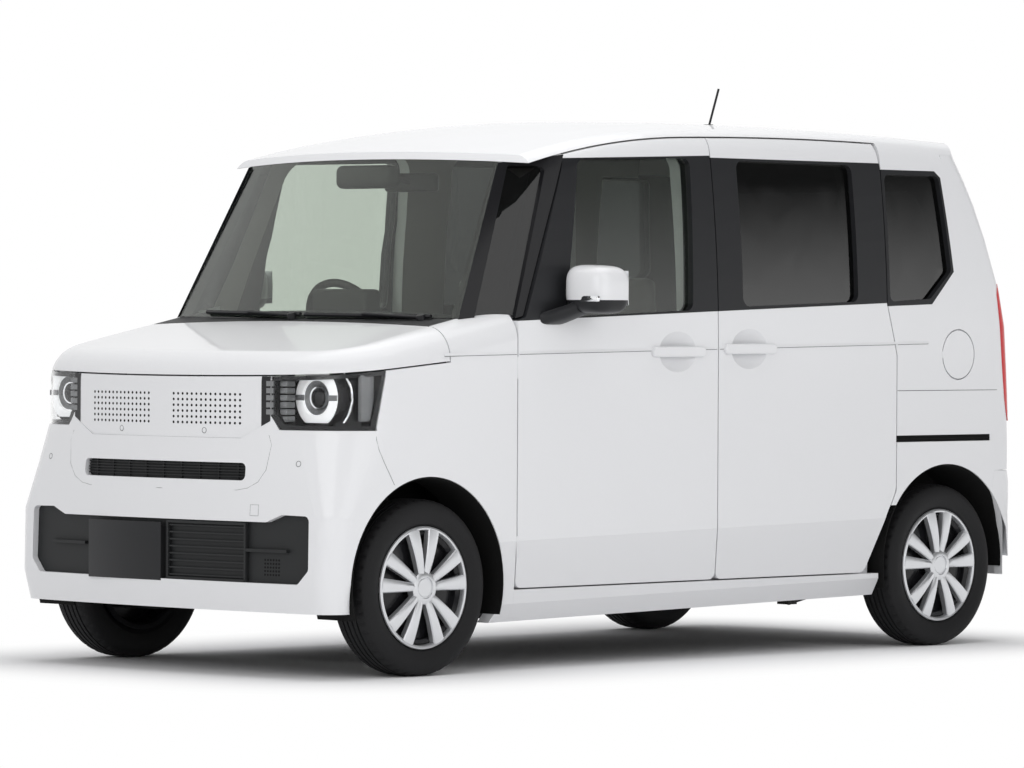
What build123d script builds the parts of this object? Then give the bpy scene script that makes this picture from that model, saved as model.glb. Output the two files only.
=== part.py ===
from build123d import *
import math
import os

os.makedirs("parts", exist_ok=True)

# Whole car, mm: +X forward, +Y the car's left, +Z up, ground at z 0
LENGTH = 3395
WIDTH = 1475
HEIGHT = 1790
WHEELBASE = 2520
TRACK = 1305
FRONT_OVERHANG = 465
HALF_L = LENGTH / 2
HALF_W = WIDTH / 2
FRONT_AXLE = HALF_L - FRONT_OVERHANG
REAR_AXLE = FRONT_AXLE - WHEELBASE

# Fits and gaps
SHUT_GAP = 5
SEAT_GAP = 0.3
RUN_FIT = 0.1

# Body side section: heights of the creases and how far in they lie
SILL_Z = 170
SILL_IN = 45
ROCKER_Z = 228
ROCKER_IN = 14
LOWER_CREASE_Z = 430
SHOULDER_Z = 1000
TUMBLE_R = 5000
SIDE_RISE = 0.016
SIDE_TOP = 1860

# Roof: long arc, forehead arc and the crown across the car
ROOF_PEAK_X = -560
ROOF_R = 18000
FOREHEAD_R = 3500
FOREHEAD_X = 0
FOREHEAD_TURN = 30
CROWN_R = 5600
ROOF_EDGE_R = 90
ROOF_T = 20

# Windscreen, a cone about an upright axis
SCREEN_BASE_X = 1103
SCREEN_BASE_Z = 1113
SCREEN_LEAN = 290 / 539
SCREEN_PLAN_R = 2600
SCREEN_LOW_Y = 655
SCREEN_HIGH_Y = 574
SCREEN_HIGH_Z = 1652
GLASS_T = 6

# Panels and frames
DOOR_T = 45
FRAME_IN = 50
FRAME_OUT = 95
NOSE_T = 22

# Side openings along the car
DOOR_FRONT_X = 832
DOOR_GAP_X = -122
SLIDE_REAR_X = -1035
DOOR_LOW_Z = 262
HINGE_Y = HALF_W - 0.5
PIN_R = SHUT_GAP / 2 - SEAT_GAP
ARCH_R = 338
ARCH_FRONT_X = FRONT_AXLE - 6
ARCH_REAR_X = REAR_AXLE - 18
ARCH_Z = 288

# Door handles: bars across round cups, and the slide rail behind the doors
FRONT_HANDLE_X = 78
FRONT_HANDLE_Z = 1015
SLIDE_HANDLE_X = -275
SLIDE_HANDLE_Z = 1024
CUP_R = 122
CUP_DEEP = 20
CUP_WIDE_R = 212
CUP_ARC = 100
CUP_SWEEP = 70
BAR_L = 256
BAR_H = 34
BAR_OUT = 14
BAR_EDGE_R = 6
RAIL_REAR_X = -1601
RAIL_LOW_Z = 704
RAIL_TOP_Z = 727
RAIL_DEEP = 22

# Nose: plan arc, corners and bonnet
NOSE_X = 1690
NOSE_R = 2420
NOSE_CORNER_R = 240
BONNET_EDGE_R = 105
BONNET_REAR_Z = 1113
BONNET_FALL = 0.198
BONNET_CROWN_R = 15000
BONNET_REAR_X = 1140
COWL_X = 1120
SHUT_FRONT_Z = 937
SHUT_RISE = 0.087

# Rear end
REAR_PLAN_R = 8000
REAR_CORNER_R = 95
REAR_LOW_Z = 490
SPLIT_Z = 1636
GATE_HALF_W = 632
GATE_TOP_X = -1405
GATE_PIN_Z = 1770
GATE_LOW_Z = 520
TAIL_LOW_Z = 770
TAIL_TOP_Z = 1248

# Wheels
TYRE_R = 278
TYRE_W = 155
RIM_R = 178
BEAD_IN = 36
BEAD_OUT = 24
BEAD_UP = 19.5
SIDEWALL_UP = 52
SHOULDER_IN = 26
WHEEL_Y = TRACK / 2
SPINDLE_R = 27
KING_LOW_Y = 600
KING_LOW_Z = 190
KING_TOP_Y = 480
KING_TOP_Z = 800
STRUT_R = 22
STRUT_START = 110
TOWER_T = 30

# Lamps, grilles, plates and pillars
LENS_T = 5
LENS_TOP_Z = 967
LENS_LOW_Z = 772
LENS_IN_Y = 455
LENS_CUT_Y = 34
LENS_CUT_Z = 46
LAMP_Y = 572
LAMP_Z = 873
LAMP_DEEP_X = 1535
GRILLE_LOW_Y = 347
GRILLE_LOW_Z = 745
GRILLE_SIDE_Z = 800
DOT_R = 3.6
DOT_COLS = 15
DOT_ROWS = 6
DOT_PITCH_Y = 20
DOT_PITCH_Z = 18
DOT_FIRST_Y = 58
DOT_LOW_Z = 791
FENDER_IN_Y = 640
FENDER_FOOT_Z = 300
SLOT_EDGE = [(-373, 613), (-373, 668), (373, 668), (373, 613)]
LOWER_GRILLE_HALF = [(600, 296), (642, 340), (640, 508), (530, 510), (468, 486)]
LOWER_GRILLE_EDGE = LOWER_GRILLE_HALF + [(-y, z) for y, z in reversed(LOWER_GRILLE_HALF)]
GATE_GLASS_EDGE = [(-520, 1130), (-470, 1570), (470, 1570), (520, 1130)]
PLATE_HOLE_R = 3
PLATE_PITCH = 210
PLATE_FRONT_Y = -160
PLATE_FRONT_Z = 382
PLATE_REAR_Z = 760
PILLAR_T = 55

# Interior and running gear
FLOOR_Z = 200
FLOOR_T = 40
LUGGAGE_Z = 452
FIREWALL_X = 915
RADIATOR_X = 1575
APRON_Y = 393
TUB_Y = 500
TUB_OUT = HALF_W - FRAME_IN - SEAT_GAP * 2
BALL_R = 9
SPINDLE_OUT = 46
FUEL_X = -1363
FUEL_Z = 1003
FUEL_R = 88
STEER_X = 520
STEER_Y = -340
STEER_Z = 1075
STEER_R = 178
STEER_LEAN = 26
COLUMN_R = 10


def face_of(points, radii, plane):
    lines = FilletPolyline(*points, radius=radii, close=True)
    return plane * make_face(lines)


def prism_y(points, y0, y1, radii=0):
    plane = Plane(origin=(0, y1, 0), x_dir=(1, 0, 0), z_dir=(0, -1, 0))
    return extrude(face_of(points, radii, plane), y1 - y0)


def prism_z(points, z0, z1, radii=0):
    plane = Plane(origin=(0, 0, z0), x_dir=(1, 0, 0), z_dir=(0, 0, 1))
    return extrude(face_of(points, radii, plane), z1 - z0)


def prism_x(points, x0, x1, radii=0):
    plane = Plane(origin=(x0, 0, 0), x_dir=(0, 1, 0), z_dir=(1, 0, 0))
    return extrude(face_of(points, radii, plane), x1 - x0)


def block(x0, x1, y0, y1, z0, z1):
    size = Box(x1 - x0, y1 - y0, z1 - z0)
    return Pos((x0 + x1) / 2, (y0 + y1) / 2, (z0 + z1) / 2) * size


def rod(start, end, radius):
    run = Vector(*end) - Vector(*start)
    plane = Plane(origin=start, z_dir=run)
    return extrude(plane * Circle(radius), run.length)


def rod_y(x, z, y0, y1, radius):
    return rod((x, y0, z), (x, y1, z), radius)


def flip(shape):
    return mirror(shape, Plane.XZ)


def both(shape):
    return Compound(shape.solids() + flip(shape).solids())


def main_solid(shape):
    return max(shape.solids(), key=lambda s: s.volume)


def side_block(inset):
    half = HALF_W - inset
    far_x = HALF_L + 100
    drop = SIDE_RISE * far_x
    up = SIDE_TOP - SHOULDER_Z
    lean = TUMBLE_R - math.sqrt(TUMBLE_R ** 2 - up ** 2)
    mid = up / 2
    mid_lean = TUMBLE_R - math.sqrt(TUMBLE_R ** 2 - mid ** 2)
    left = [(half - SILL_IN, SILL_Z), (half - ROCKER_IN, ROCKER_Z), (half, LOWER_CREASE_Z)]
    left.append((half, SHOULDER_Z))
    top = (half - lean, SIDE_TOP)
    through = (half - mid_lean, SHOULDER_Z + mid)
    edges = [Polyline(*left), ThreePointArc(left[-1], through, top)]
    right = [(-y, z) for y, z in left]
    edges.append(Line(top, (-top[0], top[1])))
    edges.append(ThreePointArc((-top[0], top[1]), (-through[0], through[1]), right[-1]))
    edges.append(Polyline(*reversed(right)))
    edges.append(Line(right[0], left[0]))
    plane = Plane(origin=(far_x, 0, -drop), x_dir=(0, 1, 0), z_dir=(1, 0, 0))
    run = Vector(-1, 0, SIDE_RISE)
    return extrude(plane * make_face(edges), 2 * far_x * run.length, dir=run)


def roof_block(inset):
    wide = 800
    deep = 1750
    tilt = math.asin((FOREHEAD_X - ROOF_PEAK_X) / ROOF_R)
    out = Vector(math.sin(tilt), 0, math.cos(tilt))
    hub = Vector(ROOF_PEAK_X, 0, HEIGHT - ROOF_R)
    joint = hub + out * ROOF_R
    fall = CROWN_R - math.sqrt(CROWN_R ** 2 - wide ** 2)
    along = Vector(math.cos(tilt), 0, -math.sin(tilt))
    plane = Plane(origin=tuple(joint), x_dir=(0, 1, 0), z_dir=along)
    top = ThreePointArc((-wide, -fall - inset), (0, -inset), (wide, -fall - inset))
    low = Polyline((wide, -fall - inset), (wide, -deep), (-wide, -deep), (-wide, -fall - inset))
    face = plane * make_face([top, low])
    near = joint - out * FOREHEAD_R
    back = revolve(face, Axis(tuple(hub), (0, -1, 0)), math.degrees(tilt) + 4.3)
    front = revolve(face, Axis(tuple(near), (0, 1, 0)), FOREHEAD_TURN)
    return back + front


def screen_x(z):
    return SCREEN_BASE_X - (z - SCREEN_BASE_Z) * SCREEN_LEAN


def ahead_of_screen(inset):
    low = 880
    high = 1900
    points = [(screen_x(low) - inset, low), (2300, low), (2300, high), (screen_x(high) - inset, high)]
    plane = Plane(origin=(0, 0, 0), x_dir=(1, 0, 0), z_dir=(0, -1, 0))
    face = face_of(points, 0, plane)
    hub = SCREEN_BASE_X - SCREEN_PLAN_R
    half = 24
    whole = revolve(face, Axis((hub, 0, 0), (0, 0, 1)), 2 * half)
    return Pos(hub, 0, 0) * Rot(0, 0, -half) * Pos(-hub, 0, 0) * whole


REAR_PROFILE = [
    # height, how far back the rear face lies there
    (1900, 1368),
    (1680, 1462),
    (1402, 1575),
    (1245, 1632),
    (1088, 1668),
    (780, 1688),
    (120, 1690),
]


def behind_rear(inset):
    points = [(-x + inset, z) for z, x in REAR_PROFILE]
    rounds = [0] + [700] * (len(points) - 2) + [0]
    far = [(-2300, REAR_PROFILE[-1][0]), (-2300, REAR_PROFILE[0][0])]
    plane = Plane(origin=(0, 0, 0), x_dir=(1, 0, 0), z_dir=(0, -1, 0))
    face = face_of(points + far, rounds + [0, 0], plane)
    hub = -HALF_L + REAR_PLAN_R
    half = 8
    whole = revolve(face, Axis((hub, 0, 0), (0, 0, 1)), 2 * half)
    return Pos(hub, 0, 0) * Rot(0, 0, -half) * Pos(-hub, 0, 0) * whole


def long_edges(shape):
    found = []
    for edge in shape.edges():
        box = edge.bounding_box()
        spot = edge.center()
        if box.size.X > 300 and abs(spot.Y) > 550 and spot.Z > 1500:
            found.append(edge)
    return found


def cabin_block(side_in, roof_in, edge_r):
    plain = side_block(side_in) & roof_block(roof_in)
    return fillet(long_edges(plain), edge_r)


def rear_edges(shape):
    found = []
    for edge in shape.edges():
        box = edge.bounding_box()
        spot = edge.center()
        if spot.X < -1350 and abs(spot.Y) > 550 and box.size.Z > 30 and box.size.Y < 150:
            found.append(edge)
    return found


def rear_block(side_in, rear_in, corner_r):
    core = side_block(side_in) & block(-2000, -700, -900, 900, REAR_LOW_Z, SPLIT_Z)
    cut = core - behind_rear(rear_in)
    return fillet(rear_edges(cut), corner_r)


def plan_face(front, rad, half, corner, back, z=0):
    hub = front - rad
    cy = half - corner
    cx = hub + math.sqrt((rad - corner) ** 2 - cy ** 2)
    turn = math.atan2(cy, cx - hub)
    tip = (hub + rad * math.cos(turn), rad * math.sin(turn))
    mid = math.radians(45) + turn / 2
    bend = (cx + corner * math.cos(mid), cy + corner * math.sin(mid))
    edges = [ThreePointArc((tip[0], -tip[1]), (front, 0), tip)]
    edges.append(ThreePointArc(tip, bend, (cx, half)))
    edges.append(Polyline((cx, half), (back, half), (back, -half), (cx, -half)))
    edges.append(ThreePointArc((cx, -half), (bend[0], -bend[1]), (tip[0], -tip[1])))
    return Pos(0, 0, z) * make_face(edges)


def nose_plan(inset, z):
    corner = max(NOSE_CORNER_R - inset, 20)
    return plan_face(NOSE_X - inset, NOSE_R - inset, HALF_W - inset, corner, 700, z)


def rear_plan(inset, z):
    far = HALF_L - inset
    face = plan_face(far, REAR_PLAN_R - inset, HALF_W - inset, REAR_CORNER_R - inset, 1300, z)
    return Rot(0, 0, 180) * face


def bonnet_cut(inset):
    wide = 900
    far = 640
    fall = BONNET_CROWN_R - math.sqrt(BONNET_CROWN_R ** 2 - wide ** 2)
    z = BONNET_REAR_Z - inset + BONNET_FALL * (COWL_X - far)
    plane = Plane(origin=(far, 0, z), x_dir=(0, 1, 0), z_dir=(1, 0, 0))
    top = ThreePointArc((-wide, -fall), (0, 0), (wide, -fall))
    over = Polyline((wide, -fall), (wide, 900), (-wide, 900), (-wide, -fall))
    run = Vector(1, 0, -BONNET_FALL)
    return extrude(plane * make_face([top, over]), 1300 * run.length, dir=run)


def nose_block(inset):
    base = extrude(nose_plan(inset, 500), 900)
    cut = base - bonnet_cut(inset)
    rim = []
    for edge in cut.edges():
        spot = edge.center()
        if spot.Z > 940 and spot.X > 720 and edge.bounding_box().size.Z < 250:
            rim.append(edge)
    return fillet(rim, BONNET_EDGE_R - inset * 0.8)


BUMPER_PLAN = [
    # height, front x, front arc radius, half width, corner radius
    (830, NOSE_X, NOSE_R, HALF_W, NOSE_CORNER_R),
    (790, NOSE_X, NOSE_R, HALF_W, NOSE_CORNER_R),
    (640, 1696, 3400, HALF_W, 165),
    (500, 1697.5, 5200, HALF_W, 85),
    (300, 1697.5, 6000, HALF_W - 6, 80),
    (205, 1682, 6000, HALF_W - 22, 80),
]


def bumper_face(row, inset):
    z, front, rad, half, corner = row
    corner = max(corner - inset, 15)
    return plan_face(front - inset, rad - inset, half - inset, corner, 1250, z)


def bumper_block(inset):
    return loft([bumper_face(row, inset) for row in BUMPER_PLAN], ruled=True)


def arch(x, radius, y0, y1):
    return rod_y(x, ARCH_Z, y0, y1, radius)


ROOF_UNDER = roof_block(ROOF_T)
ROOF_BELOW = roof_block(ROOF_T + SEAT_GAP)
ROOF_CLEAR = roof_block(ROOF_T + SHUT_GAP)
A_OUT = cabin_block(0, 0, ROOF_EDGE_R)
SIDE_DOOR = side_block(DOOR_T)
SIDE_SEAT = side_block(FRAME_IN - SEAT_GAP)
SIDE_FRAME = side_block(FRAME_IN)
SIDE_ROOM = side_block(FRAME_OUT)
B_OUT = rear_block(0, 0, REAR_CORNER_R)
B_IN = rear_block(FRAME_IN - SEAT_GAP, FRAME_IN, REAR_CORNER_R - 40)
N_OUT = nose_block(0)
N_IN = nose_block(NOSE_T)
M_OUT = bumper_block(0)
M_IN = bumper_block(NOSE_T)
LEFT = block(-2500, 2500, 0, 1200, -100, 2200)

FRONT_DOOR_EDGE = [
    (DOOR_FRONT_X, DOOR_LOW_Z),
    (DOOR_FRONT_X, 1118),
    (796, 1128),
    (575, 1660),
    (530, 1900),
    (DOOR_GAP_X, 1900),
    (DOOR_GAP_X, DOOR_LOW_Z),
]
FRONT_DOOR_ROUNDS = [25, 10, 12, 110, 20, 20, 25]
SLIDE_DOOR_EDGE = [
    (DOOR_GAP_X, DOOR_LOW_Z),
    (DOOR_GAP_X, 1900),
    (-930, 1900),
    (-984, 1640),
    (-984, 1180),
    (SLIDE_REAR_X, 1000),
    (SLIDE_REAR_X, 540),
    (-880, DOOR_LOW_Z),
]
FRONT_GLASS_EDGE = [(616, 1126), (518, 1634), (-20, 1652), (2, 1150)]
SLIDE_GLASS_EDGE = [(-246, 1163), (-246, 1648), (-833, 1645), (-833, 1182)]
QUARTER_GLASS_EDGE = [(-1000, 1182), (-1000, 1618), (-1290, 1618), (-1330, 1290), (-1214, 1194)]
FRONT_HOLE = [(745, 285), (770, 1115), (545, 1645), (-20, 1675), (-20, 285)]
SLIDE_HOLE = [(-225, 285), (-225, 1675), (-850, 1670), (-905, 1120), (-905, 640), (-800, 285)]


def shrink(points, gap):
    count = len(points)
    area = 0
    for k in range(count):
        (x0, z0), (x1, z1) = points[k], points[(k + 1) % count]
        area += x0 * z1 - x1 * z0
    turn = 1 if area > 0 else -1
    lines = []
    for k in range(count):
        (x0, z0), (x1, z1) = points[k], points[(k + 1) % count]
        size = math.hypot(x1 - x0, z1 - z0)
        nx, nz = -turn * (z1 - z0) / size, turn * (x1 - x0) / size
        lines.append((nx, nz, nx * x0 + nz * z0 + gap))
    moved = []
    for k in range(count):
        ax, az, ac = lines[k - 1]
        bx, bz, bc = lines[k]
        det = ax * bz - az * bx
        moved.append(((ac * bz - az * bc) / det, (ax * bc - ac * bx) / det))
    return moved


def door_shell(edge, rounds):
    shape = (A_OUT - SIDE_DOOR) & prism_y(shrink(edge, SHUT_GAP / 2), 500, 900, rounds)
    return shape & ROOF_CLEAR & LEFT


def handle_cup(x, z):
    turn = math.radians(CUP_ARC / 2)
    out = CUP_WIDE_R - CUP_R + CUP_R * math.cos(turn)
    up = CUP_R * math.sin(turn)
    arc = ThreePointArc((out, 0, -up), (CUP_WIDE_R, 0, 0), (out, 0, up))
    face = make_face([arc, Line((out, 0, up), (out, 0, -up))])
    bowl = revolve(face, Axis.Z, CUP_SWEEP)
    return Pos(x, HALF_W + CUP_WIDE_R - CUP_DEEP, z) * Rot(0, 0, -90 - CUP_SWEEP / 2) * bowl


def handle_bar(x, z):
    points = [(x - BAR_L / 2, z - BAR_H / 2), (x + BAR_L / 2, z - BAR_H / 2)]
    points = points + [(x + BAR_L / 2, z + BAR_H / 2), (x - BAR_L / 2, z + BAR_H / 2)]
    bar = prism_y(points, HALF_W + SEAT_GAP, HALF_W + BAR_OUT, BAR_H / 2 - 1)
    return fillet(bar.faces().sort_by(Axis.Y)[-1].edges(), BAR_EDGE_R)


def make_front_handle():
    return main_solid(handle_bar(FRONT_HANDLE_X, FRONT_HANDLE_Z))


def make_slide_handles():
    return both(main_solid(handle_bar(SLIDE_HANDLE_X, SLIDE_HANDLE_Z)))


def make_front_door():
    shape = door_shell(FRONT_DOOR_EDGE, FRONT_DOOR_ROUNDS)
    shape = shape - prism_y(FRONT_GLASS_EDGE, 500, 900, 30)
    return main_solid(shape - handle_cup(FRONT_HANDLE_X, FRONT_HANDLE_Z))


def make_slide_door():
    wall = (A_OUT - SIDE_SEAT) & prism_y(shrink(SLIDE_DOOR_EDGE, SHUT_GAP / 2), 500, 900,
                                         [25, 20, 40, 90, 60, 40, 80, 40])
    shape = wall & ROOF_CLEAR & LEFT
    shape = shape - prism_y(SLIDE_GLASS_EDGE, 500, 900, 30)
    shape = shape - handle_cup(SLIDE_HANDLE_X, SLIDE_HANDLE_Z)
    return main_solid(shape - arch(ARCH_REAR_X, ARCH_R + 25, 500, 900))


def make_glass(edge, rounds, depth):
    slab = side_block(depth) - side_block(depth + GLASS_T)
    return main_solid(slab & prism_y(shrink(edge, SEAT_GAP), 500, 900, rounds) & LEFT)


def make_side_frame():
    zone = prism_y([(DOOR_FRONT_X + 90, 205), (DOOR_FRONT_X + 90, 1112), (640, 1640), (560, 1900),
                    (-1180, 1900), (-1180, 1000), (-1100, 640), (-940, 205)], 500, 900)
    wall = (SIDE_FRAME - SIDE_ROOM) & zone & ROOF_BELOW & LEFT
    holes = prism_y(FRONT_HOLE, 400, 900, [60, 40, 120, 60, 60])
    holes = holes + prism_y(SLIDE_HOLE, 400, 900, [60, 60, 100, 60, 60, 60])
    frame = wall - holes
    sill_front = DOOR_FRONT_X + SHUT_GAP / 2 - SEAT_GAP
    sill = (side_block(0) - SIDE_ROOM) & block(-960, sill_front, 500, 900, 150, DOOR_LOW_Z - SHUT_GAP / 2)
    shape = frame + sill + block(852, 916, 670, HALF_W - NOSE_T - SEAT_GAP, 560, 640)
    shape = shape - pillar_loft(-20, PILLAR_T + SEAT_GAP)
    skin = nose_block(-SEAT_GAP) - nose_block(NOSE_T + SEAT_GAP)
    shape = shape - (skin & block(DOOR_FRONT_X, 1000, 500, 720, 1000, 1250))
    shape = shape - prism_y(shrink(QUARTER_GLASS_EDGE, -8), 400, 900)
    shape = shape - arch(ARCH_REAR_X, ARCH_R + 12, 300, 900)
    shape = shape - arch(ARCH_FRONT_X, ARCH_R + 12, 300, 900)
    pins = []
    for z in (360, 930):
        pins.append(rod((DOOR_FRONT_X, HINGE_Y, z), (DOOR_FRONT_X, HINGE_Y, z + 70), PIN_R))
        pins.append(block(DOOR_FRONT_X - 1, DOOR_FRONT_X + 1, HALF_W - FRAME_IN - 20, HINGE_Y, z, z + 70))
    for pin in pins:
        shape = shape + pin
    return main_solid(shape)


def make_quarter(lid):
    wall = (B_OUT - B_IN) & LEFT
    zone = block(-1800, -984 - SHUT_GAP / 2, 0, 900, REAR_LOW_Z, SPLIT_Z)
    shape = wall & zone
    shape = shape - prism_y(shrink(SLIDE_DOOR_EDGE, -SHUT_GAP / 2), 400, 900)
    shape = shape - block(-1900, -1300, 0, GATE_HALF_W + SHUT_GAP / 2, 300, 1700)
    shape = shape - prism_y(QUARTER_GLASS_EDGE, 400, 900, [25, 25, 25, 25, 25])
    shape = shape - arch(ARCH_REAR_X, ARCH_R, 300, 900)
    shape = shape - lamp_zone(0)
    shape = shape - rear_bumper_zone(0)
    shape = shape - block(RAIL_REAR_X, -900, HALF_W - RAIL_DEEP, 900, RAIL_LOW_Z, RAIL_TOP_Z)
    if lid:
        shape = shape - fuel_zone(0) + fuel_hinge()
    return main_solid(shape)


def lamp_zone(grow):
    low = TAIL_LOW_Z - grow
    top = TAIL_TOP_Z + grow
    points = [(-1800, low), (-1610 + grow, low), (-1585 + grow, top), (-1800, top)]
    return prism_y(points, GATE_HALF_W + 3 - min(grow, 0), 900)


def rear_bumper_zone(grow):
    return prism_y([(-1900, 100), (-1500 + grow, 100), (-1560 + grow, 600 + grow), (-1900, 600 + grow)],
                   -900, 900)


def fuel_zone(grow):
    return rod_y(FUEL_X, FUEL_Z, HALF_W - 12, HALF_W + 40, FUEL_R + grow)


def side_half(x, z):
    up = z + SIDE_RISE * x - SHOULDER_Z
    return HALF_W - TUMBLE_R + math.sqrt(TUMBLE_R ** 2 - up ** 2)


def rear_corners():
    (top_z, top_x), (next_z, next_x) = REAR_PROFILE[:2]
    rate = (top_x - next_x) / (top_z - next_z)
    faces = []
    for z in (SPLIT_Z - 20, HEIGHT + 20):
        far = next_x + rate * (z - next_z)
        face = plan_face(far + 2, REAR_PLAN_R, side_half(-far, z) + 1.5, REAR_CORNER_R, 700, z)
        faces.append(Rot(0, 0, 180) * face)
    return loft(faces, ruled=True) + block(-800, 2000, -900, 900, 1400, 1900)


def make_roof():
    cap = A_OUT - ROOF_UNDER
    rear = ((A_OUT - SIDE_SEAT) & block(-1800, -984 - SHUT_GAP / 2, -900, 900, SPLIT_Z, 1900))
    rear = rear - prism_y(shrink(SLIDE_DOOR_EDGE, -SHUT_GAP / 2), -900, 900)
    shape = cap + rear
    shape = (shape & rear_corners()) - ahead_of_screen(3) - behind_rear(0)
    half = GATE_HALF_W + SHUT_GAP / 2
    shape = shape - block(-1900, GATE_TOP_X + SHUT_GAP / 2, -half, half, 1300, 1900)
    shape = shape + rod((GATE_TOP_X, -120, GATE_PIN_Z), (GATE_TOP_X, 120, GATE_PIN_Z), PIN_R)
    shape = shape + block(GATE_TOP_X, GATE_TOP_X + SHUT_GAP, -120, 120, GATE_PIN_Z - 3, GATE_PIN_Z - 1)
    return main_solid(shape)


def make_tailgate():
    wall = (A_OUT - behind_rear(0)) & behind_rear(FRAME_IN)
    half = GATE_HALF_W - SHUT_GAP / 2
    shape = wall & block(-1800, GATE_TOP_X - SHUT_GAP / 2, -half, half, GATE_LOW_Z, 1900)
    shape = shape - rear_bumper_zone(SHUT_GAP)
    hole = prism_x(GATE_GLASS_EDGE, -2000, -1000, 50)
    shape = shape - hole
    for y in (-PLATE_PITCH / 2, PLATE_PITCH / 2):
        shape = shape - rod((-1760, y, PLATE_REAR_Z), (-1660, y, PLATE_REAR_Z), PLATE_HOLE_R)
    return main_solid(shape)


def make_tailgate_glass():
    slab = behind_rear(20) - behind_rear(20 - GLASS_T)
    return main_solid(slab & prism_x(shrink(GATE_GLASS_EDGE, SEAT_GAP), -2000, -1000, 50))


def make_tail_lamps():
    wall = (B_OUT - B_IN) & LEFT
    return both(main_solid(wall & lamp_zone(-SEAT_GAP)))


def make_rear_bumper():
    points = [(-HALF_L + 20, 235), (-HALF_L, 300), (-HALF_L, 560), (-HALF_L + 12, 600 - SEAT_GAP),
              (-1560 - SEAT_GAP, 600 - SEAT_GAP), (-1516.2 - SEAT_GAP, 235)]
    solid = prism_y(points, -HALF_W, HALF_W)
    shell = solid & extrude(rear_plan(0, 200), 450)
    shell = shell - extrude(rear_plan(NOSE_T, 180), 500)
    shell = shell & side_block(0)
    shape = shell - arch(ARCH_REAR_X, ARCH_R, 300, 900) - arch(ARCH_REAR_X, ARCH_R, -900, -300)
    return main_solid(shape)


def shut_plane(grow):
    front_z = SHUT_FRONT_Z + grow
    rear_z = front_z + SHUT_RISE * (NOSE_X - 600)
    return [(NOSE_X + 200, front_z - SHUT_RISE * 200), (600, rear_z), (600, 1500), (NOSE_X + 200, 1500)]


def make_bonnet():
    wall = N_OUT - N_IN
    shape = wall & prism_y(shut_plane(SHUT_GAP / 2), -900, 900)
    shape = shape & block(BONNET_REAR_X, 1800, -900, 900, 800, 1400)
    return main_solid(shape)


def below_bonnet():
    low = prism_y(shut_plane(-SHUT_GAP / 2), -900, 900)
    return low & block(BONNET_REAR_X - SHUT_GAP, 1900, -900, 900, 800, 1500)


FENDER_SPLIT = [(1452, 1200), (1452, 775), (1378, 603), (1378, 100), (2000, 100), (2000, 1200)]


def make_fender():
    shape = (N_OUT - N_IN) & LEFT
    low = (extrude(nose_plan(0, 190), 311) - extrude(nose_plan(NOSE_T, 180), 400)) & LEFT
    shape = shape + (low & side_block(0))
    foot = (side_block(0) - SIDE_SEAT) & block(700, FRONT_AXLE, 500, 900, 150, FENDER_FOOT_Z)
    shape = shape + foot
    shape = shape & block(DOOR_FRONT_X + SHUT_GAP / 2, 1600, 560, 900, 100, 1200)
    shape = shape - prism_y(FENDER_SPLIT, -900, 900)
    shape = shape - below_bonnet() - arch(ARCH_FRONT_X, ARCH_R, 300, 900)
    shape = shape - lens_zone(SEAT_GAP)
    shape = shape - block(600, BONNET_REAR_X, 0, FENDER_IN_Y, 980, 1300)
    return main_solid(shape)


def lens_zone(grow):
    top = LENS_TOP_Z + grow
    low = LENS_LOW_Z - grow
    side = prism_y([(1456 - grow, low), (1416 - grow, top), (1900, top), (1900, low)], 400, 900)
    inner = LENS_IN_Y - grow
    points = [(inner + LENS_CUT_Y, low), (inner, low + LENS_CUT_Z), (inner, top), (900, top), (900, low)]
    return side & prism_x(points, 1300, 1900)


def grille_zone(grow):
    low = GRILLE_LOW_Z - grow
    half = GRILLE_LOW_Y + grow
    wide = LENS_IN_Y + grow
    right = [(half, low), (wide, GRILLE_SIDE_Z - grow), (wide, 1000)]
    points = right + [(-y, z) for y, z in reversed(right)]
    return prism_x(points, 1300, 1900)


def make_lenses():
    shell = N_OUT - nose_block(LENS_T)
    zone = lens_zone(-SEAT_GAP) - below_bonnet_zone(SHUT_GAP / 2)
    return both(main_solid(shell & zone & LEFT))


def below_bonnet_zone(gap):
    return prism_y(shut_plane(-gap), -900, 900)


def make_lamp_bodies():
    room = nose_block(LENS_T)
    zone = lens_zone(-SEAT_GAP) - below_bonnet_zone(SHUT_GAP / 2)
    shape = (nose_block(LENS_T + SEAT_GAP) - nose_block(120)) & zone & LEFT
    mouth = lens_zone(-14) - below_bonnet_zone(16)
    deep = room & block(LAMP_DEEP_X, 1900, 0, 900, 700, 1000)
    hollow = (room - nose_block(45)) + deep
    shape = main_solid(shape - (hollow & mouth))
    bowl = lamp_rod(LAMP_DEEP_X + 25, 98) - lamp_rod(LAMP_DEEP_X + 60, 63)
    ball = lamp_rod(LAMP_DEEP_X + 18, 36)
    return both(main_solid(shape + ((bowl + ball) & mouth & nose_block(12))))


def lamp_rod(front_x, radius):
    return rod((LAMP_DEEP_X - 12, LAMP_Y, LAMP_Z), (front_x, LAMP_Y, LAMP_Z), radius)


def make_grille_panel():
    shape = ((N_OUT - nose_block(16)) & grille_zone(0)) - below_bonnet_zone(SHUT_GAP / 2)
    dots = []
    for col in range(DOT_COLS):
        for row in range(DOT_ROWS):
            y = DOT_FIRST_Y + col * DOT_PITCH_Y
            z = DOT_LOW_Z + row * DOT_PITCH_Z
            dots.append(rod((1600, y, z), (1720, y, z), DOT_R).solid())
            dots.append(rod((1600, -y, z), (1720, -y, z), DOT_R).solid())
    return main_solid(shape - Compound(dots))


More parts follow.
